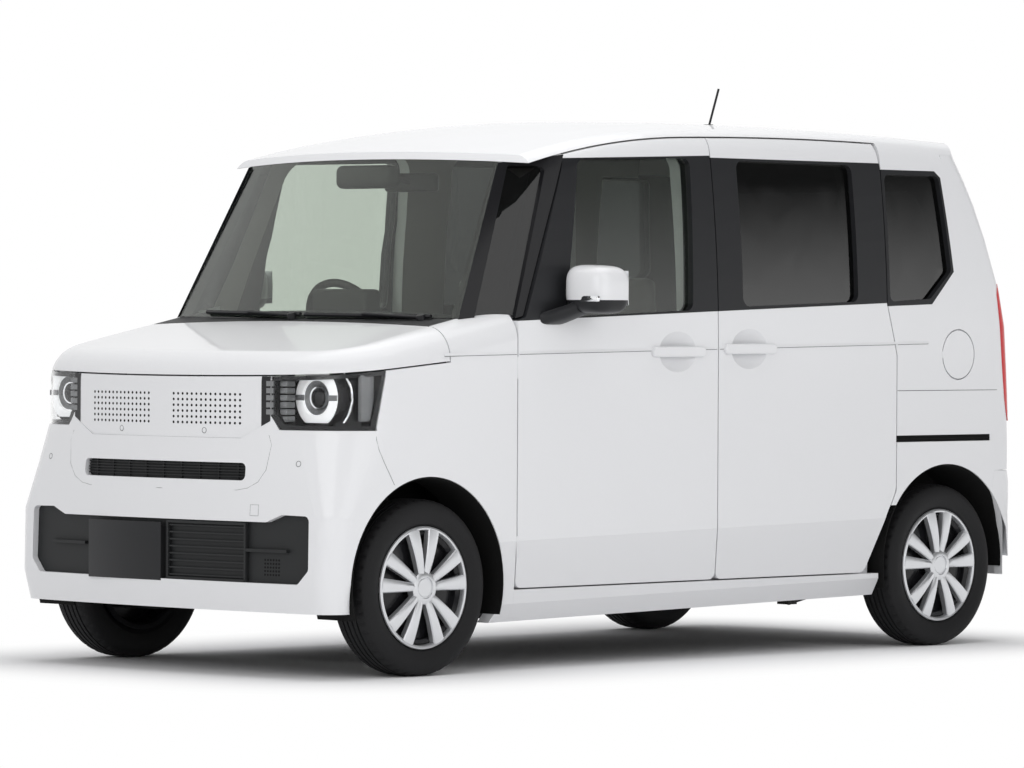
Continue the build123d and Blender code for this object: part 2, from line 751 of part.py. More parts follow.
def make_front_bumper():
    shape = M_OUT - M_IN
    shape = shape & prism_y([(p[0] + SEAT_GAP, p[1]) for p in FENDER_SPLIT], -900, 900)
    band = block(1300, 1900, -900, 900, 100, LENS_LOW_Z - SEAT_GAP)
    for side in (-1, 1):
        y0, y1 = sorted((side * GRILLE_LOW_Y, side * (LENS_IN_Y + LENS_CUT_Y)))
        band = band + block(1300, 1900, y0, y1, LENS_LOW_Z - 5, LENS_LOW_Z + LENS_CUT_Z)
    lens = lens_zone(SEAT_GAP)
    shape = (shape & band) - lens - flip(lens) - grille_zone(SEAT_GAP)
    wheel_room = arch(ARCH_FRONT_X, ARCH_R, 300, 900)
    shape = shape - wheel_room - flip(wheel_room)
    shape = shape - prism_x(SLOT_EDGE, 1500, 1900, 18)
    shape = shape - prism_x(LOWER_GRILLE_EDGE, 1500, 1900, 18)
    return main_solid(shape)


def make_grilles():
    shell = bumper_block(NOSE_T + SEAT_GAP) - bumper_block(NOSE_T + 14)
    made = []
    for edge in (SLOT_EDGE, LOWER_GRILLE_EDGE):
        cz = sum(z for y, z in edge) / len(edge)
        wide = [(y + math.copysign(14, y), z + math.copysign(14, z - cz)) for y, z in edge]
        made.append(main_solid(shell & prism_x(wide, 1500, 1900)))
    plate = made[1]
    cz = PLATE_FRONT_Z
    pad = block(1640, HALF_L - 2, PLATE_FRONT_Y - 165, PLATE_FRONT_Y + 165, cz - 82, cz + 82)
    pad = pad - bumper_block(NOSE_T + 10)
    pad = pad & prism_x(LOWER_GRILLE_EDGE, 1500, 1900, 18)
    plate = plate + pad
    for y in (PLATE_FRONT_Y - PLATE_PITCH / 2, PLATE_FRONT_Y + PLATE_PITCH / 2):
        plate = plate - rod((1600, y, cz + 50), (1750, y, cz + 50), PLATE_HOLE_R)
    made[1] = main_solid(plate)
    return Compound(made)


def pillar_quad(z, near, far):
    up = z - SCREEN_BASE_Z
    ahead = Vector(1021 - 0.503 * up, 655 - 0.150 * up, z)
    rear = Vector(797 - 0.3966 * up, 729 - 0.0594 * up, z)
    run = (rear - ahead).normalized()
    inward = Vector(run.Y, -run.X, 0)
    inward = inward if inward.Y < 0 else inward * -1
    spots = [ahead + inward * near, rear + inward * near, rear + inward * far, ahead + inward * far]
    return make_face(Polyline(*[tuple(v) for v in spots], close=True))


def pillar_loft(near, far):
    return loft([pillar_quad(1030, near, far), pillar_quad(1720, near, far)], ruled=True)


PILLAR_HOLE = [(974.5, 1100), (834, 1100), (640, 1612), (742, 1612)]


def make_pillar():
    shape = pillar_loft(0, PILLAR_T) & ROOF_BELOW
    shape = shape - nose_block(-SEAT_GAP)
    shape = shape - prism_y(PILLAR_HOLE, 300, 900, 15)
    shape = shape - prism_y(shrink(FRONT_DOOR_EDGE, -SHUT_GAP / 2), 300, 900, FRONT_DOOR_ROUNDS)
    shape = shape - (ahead_of_screen(3 + GLASS_T + SEAT_GAP) & screen_zone(3))
    return main_solid(shape)


def make_pillar_glass():
    shape = pillar_loft(14, 14 + GLASS_T) - nose_block(-SEAT_GAP)
    return main_solid(shape & prism_y(shrink(PILLAR_HOLE, SEAT_GAP), 300, 900, 15))


def make_windscreen():
    slab = ahead_of_screen(3 + GLASS_T) - ahead_of_screen(3)
    return main_solid((slab & screen_zone(0) & ROOF_BELOW) - nose_block(-SEAT_GAP))


def screen_zone(grow):
    low = SCREEN_LOW_Y - 4 + grow
    high = SCREEN_HIGH_Y - 4 + grow
    rate = (low - high) / (SCREEN_HIGH_Z - SCREEN_BASE_Z)
    bottom = low + rate * (SCREEN_BASE_Z - 1000)
    top = high - rate * (1800 - SCREEN_HIGH_Z)
    return prism_x([(-bottom, 1000), (bottom, 1000), (top, 1800), (-top, 1800)], 500, 1300)


def make_cowl():
    half = FENDER_IN_Y - SEAT_GAP
    front = BONNET_REAR_X - SHUT_GAP
    shape = (N_OUT - N_IN) & block(970, front, -half, half, 900, 1300)
    pin_z = BONNET_REAR_Z + BONNET_FALL * (COWL_X - BONNET_REAR_X + SHUT_GAP / 2)
    pin_x = BONNET_REAR_X - SHUT_GAP / 2
    shape = main_solid(shape) + rod((pin_x, -120, pin_z), (pin_x, 120, pin_z), PIN_R)
    shape = shape + block(front - 1, pin_x, -120, 120, pin_z - 3, pin_z - 1)
    return main_solid(shape)


def make_mirror():
    head = fillet(Box(130, 165, 157).edges(), 42)
    shape = Pos(560, 824, 1215) * head
    foot = prism_y([(735, 1085), (625, 1085), (585, 1175), (640, 1190)], 690, 800, 12)
    shape = shape + foot
    return main_solid(shape - A_OUT)


def make_fuel_lid():
    return main_solid(rod_y(FUEL_X, FUEL_Z, HALF_W - 6, HALF_W + 40, FUEL_R - SHUT_GAP) & B_OUT)


def fuel_hinge():
    x = FUEL_X + FUEL_R - SHUT_GAP / 2
    pin = rod((x, HINGE_Y, FUEL_Z - 12), (x, HINGE_Y, FUEL_Z + 12), PIN_R)
    return pin + block(x - 1, x + 1, HALF_W - 14, HINGE_Y, FUEL_Z - 12, FUEL_Z + 12)


def make_underbody():
    wide = 800
    floor = block(-760, FIREWALL_X, -wide, wide, FLOOR_Z, FLOOR_Z + FLOOR_T)
    kick = prism_y([(-740, FLOOR_Z), (-740, FLOOR_Z + FLOOR_T), (-870, LUGGAGE_Z), (-900, LUGGAGE_Z),
                    (-900, LUGGAGE_Z - FLOOR_T)], -wide, wide)
    rear = block(-1600, -880, -wide, wide, LUGGAGE_Z - FLOOR_T, LUGGAGE_Z)
    wall = block(FIREWALL_X - 25, FIREWALL_X, -wide, wide, FLOOR_Z, 1030)
    shape = (floor + kick + rear + wall) & side_block(FRAME_OUT + SEAT_GAP)
    hole = arch(ARCH_REAR_X, ARCH_R + 5, TUB_Y, 900)
    tub = arch(ARCH_REAR_X, ARCH_R + 12 - SEAT_GAP, TUB_Y, TUB_OUT)
    tub = (tub - arch(ARCH_REAR_X, ARCH_R, TUB_Y + 10, 900)) & block(-2000, 0, 0, 900, 345, 900)
    shape = (shape - hole - flip(hole)) + tub + flip(tub)
    for side in (-1, 1):
        y0, y1 = sorted((side * APRON_Y, side * (APRON_Y + 12)))
        shape = shape + block(FIREWALL_X - 10, RADIATOR_X + 20, y0, y1, 330, 780)
        y0, y1 = sorted((side * APRON_Y, side * 565))
        shape = shape + block(FRONT_AXLE - 75, FRONT_AXLE + 75, y0, y1, KING_TOP_Z - TOWER_T, KING_TOP_Z)
    shape = shape + block(RADIATOR_X, RADIATOR_X + 25, -APRON_Y - 5, APRON_Y + 5, 330, 860)
    skin = block(-1900, -1500, -900, 900, 200, 600 + SEAT_GAP)
    skin = skin - extrude(rear_plan(NOSE_T + SEAT_GAP, 150), 500)
    return main_solid(shape - skin)


def make_engine():
    shape = block(1060, 1500, -320, 300, 300, 850)
    shape = fillet(shape.edges().filter_by(Axis.Y), 40)
    mounts = block(1240, 1330, -APRON_Y + SEAT_GAP, APRON_Y - SEAT_GAP, 500, 560)
    return main_solid(shape + mounts)


def king_plane():
    low = Vector(FRONT_AXLE, KING_LOW_Y, KING_LOW_Z)
    high = Vector(FRONT_AXLE, KING_TOP_Y, KING_TOP_Z)
    return Plane(origin=tuple(low), x_dir=(1, 0, 0), z_dir=high - low)


def make_subframe():
    shape = block(FRONT_AXLE - 110, FRONT_AXLE + 90, -430, 430, 195, 240)
    for side in (-1, 1):
        y0, y1 = sorted((side * (APRON_Y - 5), side * (APRON_Y + 14)))
        shape = shape + block(FRONT_AXLE - 80, FRONT_AXLE + 60, y0, y1, 235, 330 - SEAT_GAP)
    frame = king_plane()
    arm = prism_z([(FRONT_AXLE - 100, 400), (FRONT_AXLE + 80, 400), (FRONT_AXLE + 34, 470),
                   (FRONT_AXLE + 24, KING_LOW_Y + 16), (FRONT_AXLE - 24, KING_LOW_Y + 16),
                   (FRONT_AXLE - 34, 470)], 196, 216)
    arm = arm - extrude(frame * Pos(0, 0, -60) * Circle(60), 400) + block(
        FRONT_AXLE - 24, FRONT_AXLE + 24, 500, KING_LOW_Y + 12, 164, 177)
    arm = arm + block(FRONT_AXLE - 24, FRONT_AXLE + 24, 500, 535, 164, 216)
    pin = extrude(frame * Pos(0, 0, -20) * Circle(BALL_R), 34)
    arm = arm + pin
    return main_solid(shape + arm + flip(arm))


def make_knuckle():
    frame = king_plane()
    lug = extrude(frame * Pos(0, 0, -9) * Circle(STRUT_R), 40)
    lug = lug - extrude(frame * Pos(0, 0, -30) * Circle(BALL_R + RUN_FIT), 46)
    body = block(FRONT_AXLE - 38, FRONT_AXLE + 38, 556, 600, 222, 340)
    lean = math.atan2(KING_LOW_Y - KING_TOP_Y, KING_TOP_Z - KING_LOW_Z)
    top = KING_TOP_Z - TOWER_T - SEAT_GAP - STRUT_R * math.sin(lean)
    strut_end = (top - KING_LOW_Z) / math.cos(lean)
    strut = extrude(frame * Pos(0, 0, STRUT_START) * Circle(STRUT_R), strut_end - STRUT_START)
    disc = rod_y(FRONT_AXLE, TYRE_R, 628, 640, 118)
    axle = rod_y(FRONT_AXLE, TYRE_R, 560, WHEEL_Y + SPINDLE_OUT, SPINDLE_R)
    return main_solid(lug + body + strut + disc + axle)


def make_rear_axle():
    shape = rod_y(-1060, 250, -500, 500, 38)
    half = rod((-780, 470, 172), (REAR_AXLE, 505, TYRE_R), 26)
    half = half + block(-800, -755, 445, 495, 150, FLOOR_Z - SEAT_GAP)
    half = half + block(REAR_AXLE - 45, REAR_AXLE + 45, 490, 545, TYRE_R - 45, TYRE_R + 45)
    half = half + rod_y(REAR_AXLE, TYRE_R, 540, WHEEL_Y + SPINDLE_OUT, SPINDLE_R)
    half = half + rod_y(REAR_AXLE, TYRE_R, 596, 612, 118)
    half = half + rod((-1190, 430, 235), (-1190, 430, LUGGAGE_Z - FLOOR_T - SEAT_GAP), 45)
    half = half + rod_y(-1190, 262, 430, 500, 24)
    return main_solid(shape + half + flip(half))


def make_tank():
    shape = block(120, 660, -400, 400, 148, FLOOR_Z - SEAT_GAP)
    return main_solid(fillet(shape.edges().filter_by(Axis.Z), 50))


def make_exhaust():
    path = [(600, -440, 174), (-690, -440, 174), (-770, -380, 178), (-940, -300, 312), (-1180, -150, 335)]
    path.append((-1400, -150, 335))
    shape = None
    for start, end in zip(path, path[1:]):
        piece = rod(start, end, 22) + Pos(*end) * Sphere(22)
        shape = piece if shape is None else shape + piece
    muffler = fillet(block(-1590, -1380, -420, 60, 285, 385).edges(), 35)
    shape = shape + muffler + block(-1500, -1470, -120, -90, 370, LUGGAGE_Z - FLOOR_T - SEAT_GAP)
    shape = shape + block(300, 330, -455, -425, 180, FLOOR_Z - SEAT_GAP)
    return main_solid(shape)


def make_dashboard():
    back = FIREWALL_X - 25 - SEAT_GAP
    points = [(back, 760), (back, 1035), (760, 1072), (655, 1050), (640, 960), (690, 820)]
    points = points + [(760, 700), (860, 690)]
    shape = prism_y(points, -800, 800, [5, 5, 40, 30, 40, 40, 40, 30])
    shape = shape & side_block(FRAME_OUT + 6)
    axis = wheel_plane()
    post = extrude(axis * Pos(0, 0, 40) * Circle(32), 190)
    bore = extrude(axis * Circle(COLUMN_R + RUN_FIT), 140)
    return main_solid((shape + post) - bore)


def wheel_plane():
    lean = math.radians(STEER_LEAN)
    along = (math.cos(lean), 0, -math.sin(lean))
    return Plane(origin=(STEER_X, STEER_Y, STEER_Z), x_dir=(0, 1, 0), z_dir=along)


def make_steering_wheel():
    frame = wheel_plane()
    ring = frame * Torus(STEER_R, 14)
    hub = extrude(frame * Pos(0, 0, -14) * Circle(58), 48)
    bar = frame * Pos(0, 0, 4) * Box(2 * STEER_R - 4, 34, 14)
    stem = frame * Pos(0, -STEER_R / 2, 4) * Box(34, STEER_R, 14)
    shaft = extrude(frame * Circle(COLUMN_R), 130)
    return main_solid(ring + hub + bar + stem + shaft)


def seat(points, rounds, y0, y1, head):
    shape = prism_y(points, y0, y1, rounds)
    x, z0, z1, wide = head
    for mid in head_rows(y0, y1):
        rest = fillet(Box(85, wide, z1 - z0).edges(), 30)
        shape = shape + Pos(x, mid, (z0 + z1) / 2) * rest
        shape = shape + block(x - 12, x + 12, mid - 40, mid + 40, z0 - 120, z0 + 40)
    return main_solid(shape)


def head_rows(y0, y1):
    if y1 - y0 > 800:
        return ((y0 + y1) / 2 - 290, (y0 + y1) / 2 + 290)
    return ((y0 + y1) / 2,)


def make_front_seats():
    low = FLOOR_Z + FLOOR_T + SEAT_GAP
    points = [(360, low), (420, 480), (380, 545), (40, 505)]
    points = points + [(-60, 1090), (-165, 1085), (-90, 420), (-40, low)]
    return both(seat(points, [20, 50, 40, 60, 45, 45, 60, 20], 85, 565, (-120, 1100, 1270, 250)))


def make_rear_bench():
    low = FLOOR_Z + FLOOR_T + SEAT_GAP
    points = [(-330, low), (-280, 480), (-320, 545), (-640, 505)]
    points = points + [(-735, 1080), (-835, 1075), (-725, 430), (-690, low)]
    return seat(points, [20, 50, 40, 60, 45, 45, 60, 20], -585, 585, (-790, 1090, 1250, 240))


def make_antenna():
    shape = rod((-884, 0, 1780), (-938, 0, 1923), 4) + rod((-886, 0, 1770), (-886, 0, 1798), 17)
    return main_solid(shape - A_OUT)


RIM_SECTION = [
    # radius, place along the axle from the wheel's middle
    (150, -72), (186, -72), (190, -66), (RIM_R, -60), (RIM_R, 52), (194, 62), (194, 70),
    (120, 76), (60, 70), (0, 70), (0, 52), (SPINDLE_R + RUN_FIT, 52), (SPINDLE_R + RUN_FIT, 20),
    (70, 20), (70, 44), (150, 56), (166, 40), (166, -60), (150, -64),
]
NARROW_WINDOW = [(6, 100), (22, 160), (15, 166)]
WIDE_WINDOW = [(18, 74), (44, 152), (36, 166)]
SPOKE_PAIRS = 5


def wheel_window(half):
    points = half + [(-x, z) for x, z in reversed(half)]
    plane = Plane(origin=(0, 30, 0), x_dir=(1, 0, 0), z_dir=(0, 1, 0))
    return extrude(plane * make_face(FilletPolyline(*points, radius=4, close=True)), 80)


def make_wheel():
    face = make_face(Polyline(*[(r, y, 0) for r, y in RIM_SECTION], close=True))
    shape = revolve(face, Axis.Y, 360)
    step = 360 / SPOKE_PAIRS
    for k in range(SPOKE_PAIRS):
        shape = shape - Rot(0, k * step, 0) * wheel_window(NARROW_WINDOW)
        shape = shape - Rot(0, (k + 0.5) * step, 0) * wheel_window(WIDE_WINDOW)
    return main_solid(shape)


def make_tyre():
    half = TYRE_W / 2
    low = RIM_R + SEAT_GAP
    points = [(low, half - BEAD_IN), (low + BEAD_UP, half - BEAD_OUT), (low + SIDEWALL_UP, half)]
    points = points + [(TYRE_R, half - SHOULDER_IN)]
    points = points + [(r, -y) for r, y in reversed(points)]
    face = make_face(Polyline(*[(r, y, 0) for r, y in points], close=True))
    return main_solid(revolve(face, Axis.Y, 360))


def put(name, shape):
    export_step(shape, f"parts/{name}.step")


def put_pair(name, shape):
    put(name + "_left", shape)
    put(name + "_right", flip(shape))


SINGLE = (
    ("roof_panel", make_roof),
    ("tailgate", make_tailgate),
    ("tailgate_glass", make_tailgate_glass),
    ("tail_lamps", make_tail_lamps),
    ("rear_bumper", make_rear_bumper),
    ("bonnet", make_bonnet),
    ("headlamp_lenses", make_lenses),
    ("headlamp_bodies", make_lamp_bodies),
    ("grille_panel", make_grille_panel),
    ("front_bumper", make_front_bumper),
    ("front_grilles", make_grilles),
    ("windscreen", make_windscreen),
    ("cowl", make_cowl),
    ("underbody", make_underbody),
    ("engine", make_engine),
    ("front_subframe", make_subframe),
    ("rear_axle", make_rear_axle),
    ("fuel_tank", make_tank),
    ("exhaust", make_exhaust),
    ("dashboard", make_dashboard),
    ("steering_wheel", make_steering_wheel),
    ("front_seats", make_front_seats),
    ("rear_bench", make_rear_bench),
    ("antenna", make_antenna),
    ("fuel_lid", make_fuel_lid),
    ("sliding_door_handles", make_slide_handles),
)
PAIRS = (
    ("front_door", make_front_door),
    ("front_door_handle", make_front_handle),
    ("sliding_door", make_slide_door),
    ("side_frame", make_side_frame),
    ("fender", make_fender),
    ("front_pillar", make_pillar),
    ("mirror", make_mirror),
    ("knuckle", make_knuckle),
)
WHEELS = (
    # place along the car, side, name
    (FRONT_AXLE, 1, "front_left"),
    (FRONT_AXLE, -1, "front_right"),
    (REAR_AXLE, 1, "rear_left"),
    (REAR_AXLE, -1, "rear_right"),
)

for name, maker in SINGLE:
    put(name, maker())
for name, maker in PAIRS:
    put_pair(name, maker())

put("quarter_panel_left", make_quarter(True))
put("quarter_panel_right", flip(make_quarter(False)))
put_pair("front_door_glass", make_glass(FRONT_GLASS_EDGE, 30, 18))
slide_glass = make_glass(SLIDE_GLASS_EDGE, 30, 18)
quarter_glass = make_glass(QUARTER_GLASS_EDGE, 25, 18)
put("sliding_door_glass", both(slide_glass))
put("fixed_side_glass", Compound(both(quarter_glass).solids() + both(make_pillar_glass()).solids()))

rim = make_wheel()
tyre = make_tyre()
for x, side, name in WHEELS:
    turn = 0 if side > 0 else 180
    place = Pos(x, side * WHEEL_Y, TYRE_R) * Rot(0, 0, turn)
    put("wheel_" + name, place * rim)
    put("tyre_" + name, place * tyre)
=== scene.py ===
import bpy
import bmesh
import math
from mathutils import Matrix, Vector


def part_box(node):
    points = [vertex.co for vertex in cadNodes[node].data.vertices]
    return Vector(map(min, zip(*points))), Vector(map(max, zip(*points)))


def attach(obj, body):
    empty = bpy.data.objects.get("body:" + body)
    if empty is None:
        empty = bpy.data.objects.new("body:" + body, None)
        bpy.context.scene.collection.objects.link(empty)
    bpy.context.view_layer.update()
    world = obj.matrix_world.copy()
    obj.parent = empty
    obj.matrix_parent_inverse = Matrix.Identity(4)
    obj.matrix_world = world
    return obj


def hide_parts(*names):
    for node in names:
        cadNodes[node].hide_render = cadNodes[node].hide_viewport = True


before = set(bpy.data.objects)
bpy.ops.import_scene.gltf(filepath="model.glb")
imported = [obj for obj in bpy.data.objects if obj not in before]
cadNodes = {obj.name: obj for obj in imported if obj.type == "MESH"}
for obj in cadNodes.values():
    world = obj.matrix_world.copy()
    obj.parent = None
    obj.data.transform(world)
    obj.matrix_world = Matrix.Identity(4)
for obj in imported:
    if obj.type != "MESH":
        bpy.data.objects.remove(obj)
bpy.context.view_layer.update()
scene = bpy.context.scene
scene.view_settings.view_transform = "Standard"
print("frame loaded with", len(cadNodes), "nodes")

shot = {
    "place": (13.8636, 13.2630, 1.1459),  # m, from the lens fit
    "yaw": -136.0755,
    "pitch": -0.7361,
    "roll": 0.294,
    "lens": 200.1,
    "sensor": 36.0,
}


def makeCamera():
    data = bpy.data.cameras.new("camera")
    data.lens = shot["lens"]
    data.sensor_width = shot["sensor"]
    data.sensor_fit = "HORIZONTAL"
    data.clip_end = 200
    camera = bpy.data.objects.new("camera", data)
    scene.collection.objects.link(camera)
    yaw, pitch, roll = (math.radians(shot[k]) for k in ("yaw", "pitch", "roll"))
    ahead = Vector((math.cos(pitch) * math.cos(yaw), math.cos(pitch) * math.sin(yaw), math.sin(pitch)))
    right = ahead.cross(Vector((0, 0, 1))).normalized()
    up = right.cross(ahead)
    across = right * math.cos(roll) + up * math.sin(roll)
    upward = up * math.cos(roll) - right * math.sin(roll)
    turn = Matrix((across, upward, -ahead)).transposed().to_4x4()
    camera.matrix_world = Matrix.Translation(shot["place"]) @ turn
    scene.camera = camera


studio = {
    "fill": 0.52,  # world strength on matt surfaces
    "horizon": 1.5,  # what gloss sees level with the car
    "ceiling": 0.06,  # what gloss sees overhead
    "rampFrom": 0.02,
    "rampTo": 0.17,
    "away": 0.95,  # what gloss sees to the right
    "awayFrom": 0.05,
    "awayTo": -0.25,
    "lamps": {  # place, target, size and power
        "topLamp": ((0, 0, 5.0), (0, 0, 0), (6.0, 4.5), 108),
        "keyLamp": ((6.5, 3.2, 3.4), (0.8, 0, 0.8), (4.0, 4.0), 92),
        "sideLamp": ((0.5, 7.0, 3.2), (0, 0, 0.9), (5.0, 5.0), 76),
    },
    "floorHalf": 80,
    "floorTone": (0.93, 0.93, 0.94, 1),
    "footprint": (1.50, 0.62, 10),  # m, half of what keeps its shadow
    "fadeFrom": 0.10,
    "fadeTo": 0.85,
}


def areaLamp(name, place, target, size, power):
    data = bpy.data.lights.new(name, "AREA")
    data.shape = "RECTANGLE"
    data.size, data.size_y = size
    data.energy = power
    lamp = bpy.data.objects.new(name, data)
    scene.collection.objects.link(lamp)
    lamp.location = place
    lamp.rotation_mode = "QUATERNION"
    lamp.rotation_quaternion = (Vector(target) - Vector(place)).to_track_quat("-Z", "Y")


def placeMesh(name, bm):
    mesh = bpy.data.meshes.new(name)
    bm.to_mesh(mesh)
    bm.free()
    obj = bpy.data.objects.new(name, mesh)
    scene.collection.objects.link(obj)
    return obj


def addNode(tree, kind, **settings):
    node = tree.nodes.new("ShaderNode" + kind)
    for key, value in settings.items():
        setattr(node, key, value)
    return node


def setSockets(node, sockets):
    for key, value in sockets.items():
        node.inputs[key].default_value = value


def setStops(ramp, *stops):
    for stop, (position, colour) in zip(ramp.color_ramp.elements, stops):
        stop.position = position
        stop.color = colour


def join(tree, *links):
    for start, out, end, into in links:
        tree.links.new(start.outputs[out], end.inputs[into])


def grey(tone):
    return (tone, tone, tone, 1)


def makeWorld():
    world = bpy.data.worlds.new("studio")
    scene.world = world
    world.use_nodes = True
    tree = world.node_tree
    path = addNode(tree, "LightPath")
    place = addNode(tree, "TexCoord")
    split = addNode(tree, "SeparateXYZ")
    ramp = addNode(tree, "ValToRGB")  # what gloss sees: pale low down, dimmer above
    setStops(ramp, (studio["rampFrom"], grey(studio["horizon"])), (studio["rampTo"], grey(studio["ceiling"])))
    away = addNode(tree, "MapRange")  # the right-hand wall is pale all the way up
    setSockets(away, {"From Min": studio["awayFrom"], "From Max": studio["awayTo"]})
    lit = addNode(tree, "Mix", data_type="RGBA")
    setSockets(lit, {"B": grey(studio["away"])})
    seen = addNode(tree, "Math", operation="MAXIMUM")
    pick = addNode(tree, "Mix", data_type="RGBA")
    setSockets(pick, {"A": grey(studio["fill"])})
    white = addNode(tree, "Mix", data_type="RGBA")
    setSockets(white, {"B": grey(1)})
    join(tree, (place, "Generated", split, 0),
         (split, "Z", ramp, "Fac"),
         (split, "Y", away, "Value"),
         (away, "Result", lit, "Factor"),
         (ramp, "Color", lit, "A"),
         (path, "Is Glossy Ray", pick, "Factor"),
         (lit, "Result", pick, "B"),
         (path, "Is Camera Ray", seen, 0),
         (path, "Is Transmission Ray", seen, 1),
         (seen, 0, white, "Factor"),
         (pick, "Result", white, "A"),
         (white, "Result", tree.nodes["Background"], "Color"))
    for name, (place, target, size, power) in studio["lamps"].items():
        areaLamp(name, place, target, size, power)


def makeFloor():
    bm = bmesh.new()
    bmesh.ops.create_grid(bm, x_segments=1, y_segments=1, size=studio["floorHalf"])
    floor = placeMesh("floor", bm)
    sockets = {"Base Color": studio["floorTone"], "Specular IOR Level": 0}
    mat, tree, shader = startFinish("floorWhite", 0.9, sockets)
    glow = addNode(tree, "Emission")
    place = addNode(tree, "TexCoord")
    fold = addNode(tree, "VectorMath", operation="ABSOLUTE")
    inset = addNode(tree, "VectorMath", operation="SUBTRACT")
    inset.inputs[1].default_value = studio["footprint"]
    outside = addNode(tree, "VectorMath", operation="MAXIMUM")
    reach = addNode(tree, "VectorMath", operation="LENGTH")
    fade = addNode(tree, "MapRange", interpolation_type="SMOOTHSTEP")
    setSockets(fade, {"From Min": studio["fadeFrom"], "From Max": studio["fadeTo"]})
    path = addNode(tree, "LightPath")
    shown = addNode(tree, "Math", operation="SUBTRACT")
    shown.inputs[0].default_value = 1
    glowing = addNode(tree, "Math", operation="MULTIPLY")
    blend = addNode(tree, "MixShader")
    join(tree, (place, "Object", fold, 0),
         (fold, 0, inset, 0),
         (inset, 0, outside, 0),
         (outside, 0, reach, 0),
         (reach, "Value", fade, "Value"),
         (path, "Is Diffuse Ray", shown, 1),  # the glow doesn't light the car
         (shown, 0, glowing, 0),
         (fade, "Result", glowing, 1),
         (glowing, 0, blend, 0),
         (shader, 0, blend, 1),
         (glow, 0, blend, 2),
         (blend, 0, tree.nodes["Material Output"], "Surface"))
    floor.data.materials.append(mat)


def startFinish(name, rough, sockets):
    mat = bpy.data.materials.new(name)
    mat.use_nodes = True
    shader = mat.node_tree.nodes["Principled BSDF"]
    shader.inputs["Roughness"].default_value = rough
    setSockets(shader, sockets)
    return mat, mat.node_tree, shader


def makeFinish(name, rough, sockets, dark, light, scale, bump=0.0, deep=0.0004):
    mat, tree, shader = startFinish(name, rough, sockets)
    place = addNode(tree, "TexCoord")
    noise = addNode(tree, "TexNoise")
    noise.inputs["Scale"].default_value = scale
    ramp = addNode(tree, "ValToRGB")
    setStops(ramp, (0.3, (*dark, 1)), (0.7, (*light, 1)))
    join(tree, (place, "Object", noise, "Vector"),
         (noise, "Fac", ramp, "Fac"),
         (ramp, "Color", shader, "Base Color"))
    if bump:
        relief = addNode(tree, "Bump")
        setSockets(relief, {"Strength": bump, "Distance": deep})
        join(tree, (noise, "Fac", relief, "Height"),
             (relief, "Normal", shader, "Normal"))
    return mat


def makeGlass(name, colour, bend):
    sockets = {"Transmission Weight": 1.0, "IOR": bend}
    return makeFinish(name, 0.0, sockets, colour, tuple(c * 1.01 for c in colour), 40)


panelFold = {"height": 0.430, "slope": 0.018, "tilt": 0.30}  # the doors lean in below this line


def sidePaint():
    mat = makeFinish("sidePaint", *looks["paint"][1:])
    tree = mat.node_tree
    shader = tree.nodes["Principled BSDF"]
    place = addNode(tree, "TexCoord")
    split = addNode(tree, "SeparateXYZ")
    height = addNode(tree, "Math", operation="MULTIPLY_ADD")
    height.inputs[1].default_value = panelFold["slope"]
    below = addNode(tree, "MapRange")
    setSockets(below, {"From Min": panelFold["height"] - 1, "From Max": panelFold["height"],
                       "To Min": -panelFold["tilt"], "To Max": 0})
    relief = addNode(tree, "Bump")
    relief.inputs["Distance"].default_value = 1
    join(tree, (place, "Object", split, 0),
         (split, "X", height, 0),
         (split, "Z", height, 2),
         (height, 0, below, "Value"),
         (below, "Result", relief, "Height"),
         (relief, "Normal", shader, "Normal"),
         (relief, "Normal", shader, "Coat Normal"))
    return mat


weave = {"Scale": 480, "Color1": (0.128, 0.121, 0.113, 1), "Color2": (0.150, 0.142, 0.133, 1)}


def seatCloth():
    mat, tree, shader = startFinish("seatCloth", 0.9, {"Sheen Weight": 0.3})
    place = addNode(tree, "TexCoord")
    threads = addNode(tree, "TexChecker")
    setSockets(threads, weave)
    relief = addNode(tree, "Bump")
    setSockets(relief, {"Strength": 0.4, "Distance": 0.0006})
    join(tree, (place, "Object", threads, "Vector"),
         (threads, "Color", shader, "Base Color"),
         (threads, "Fac", relief, "Height"),
         (relief, "Normal", shader, "Normal"))
    return mat


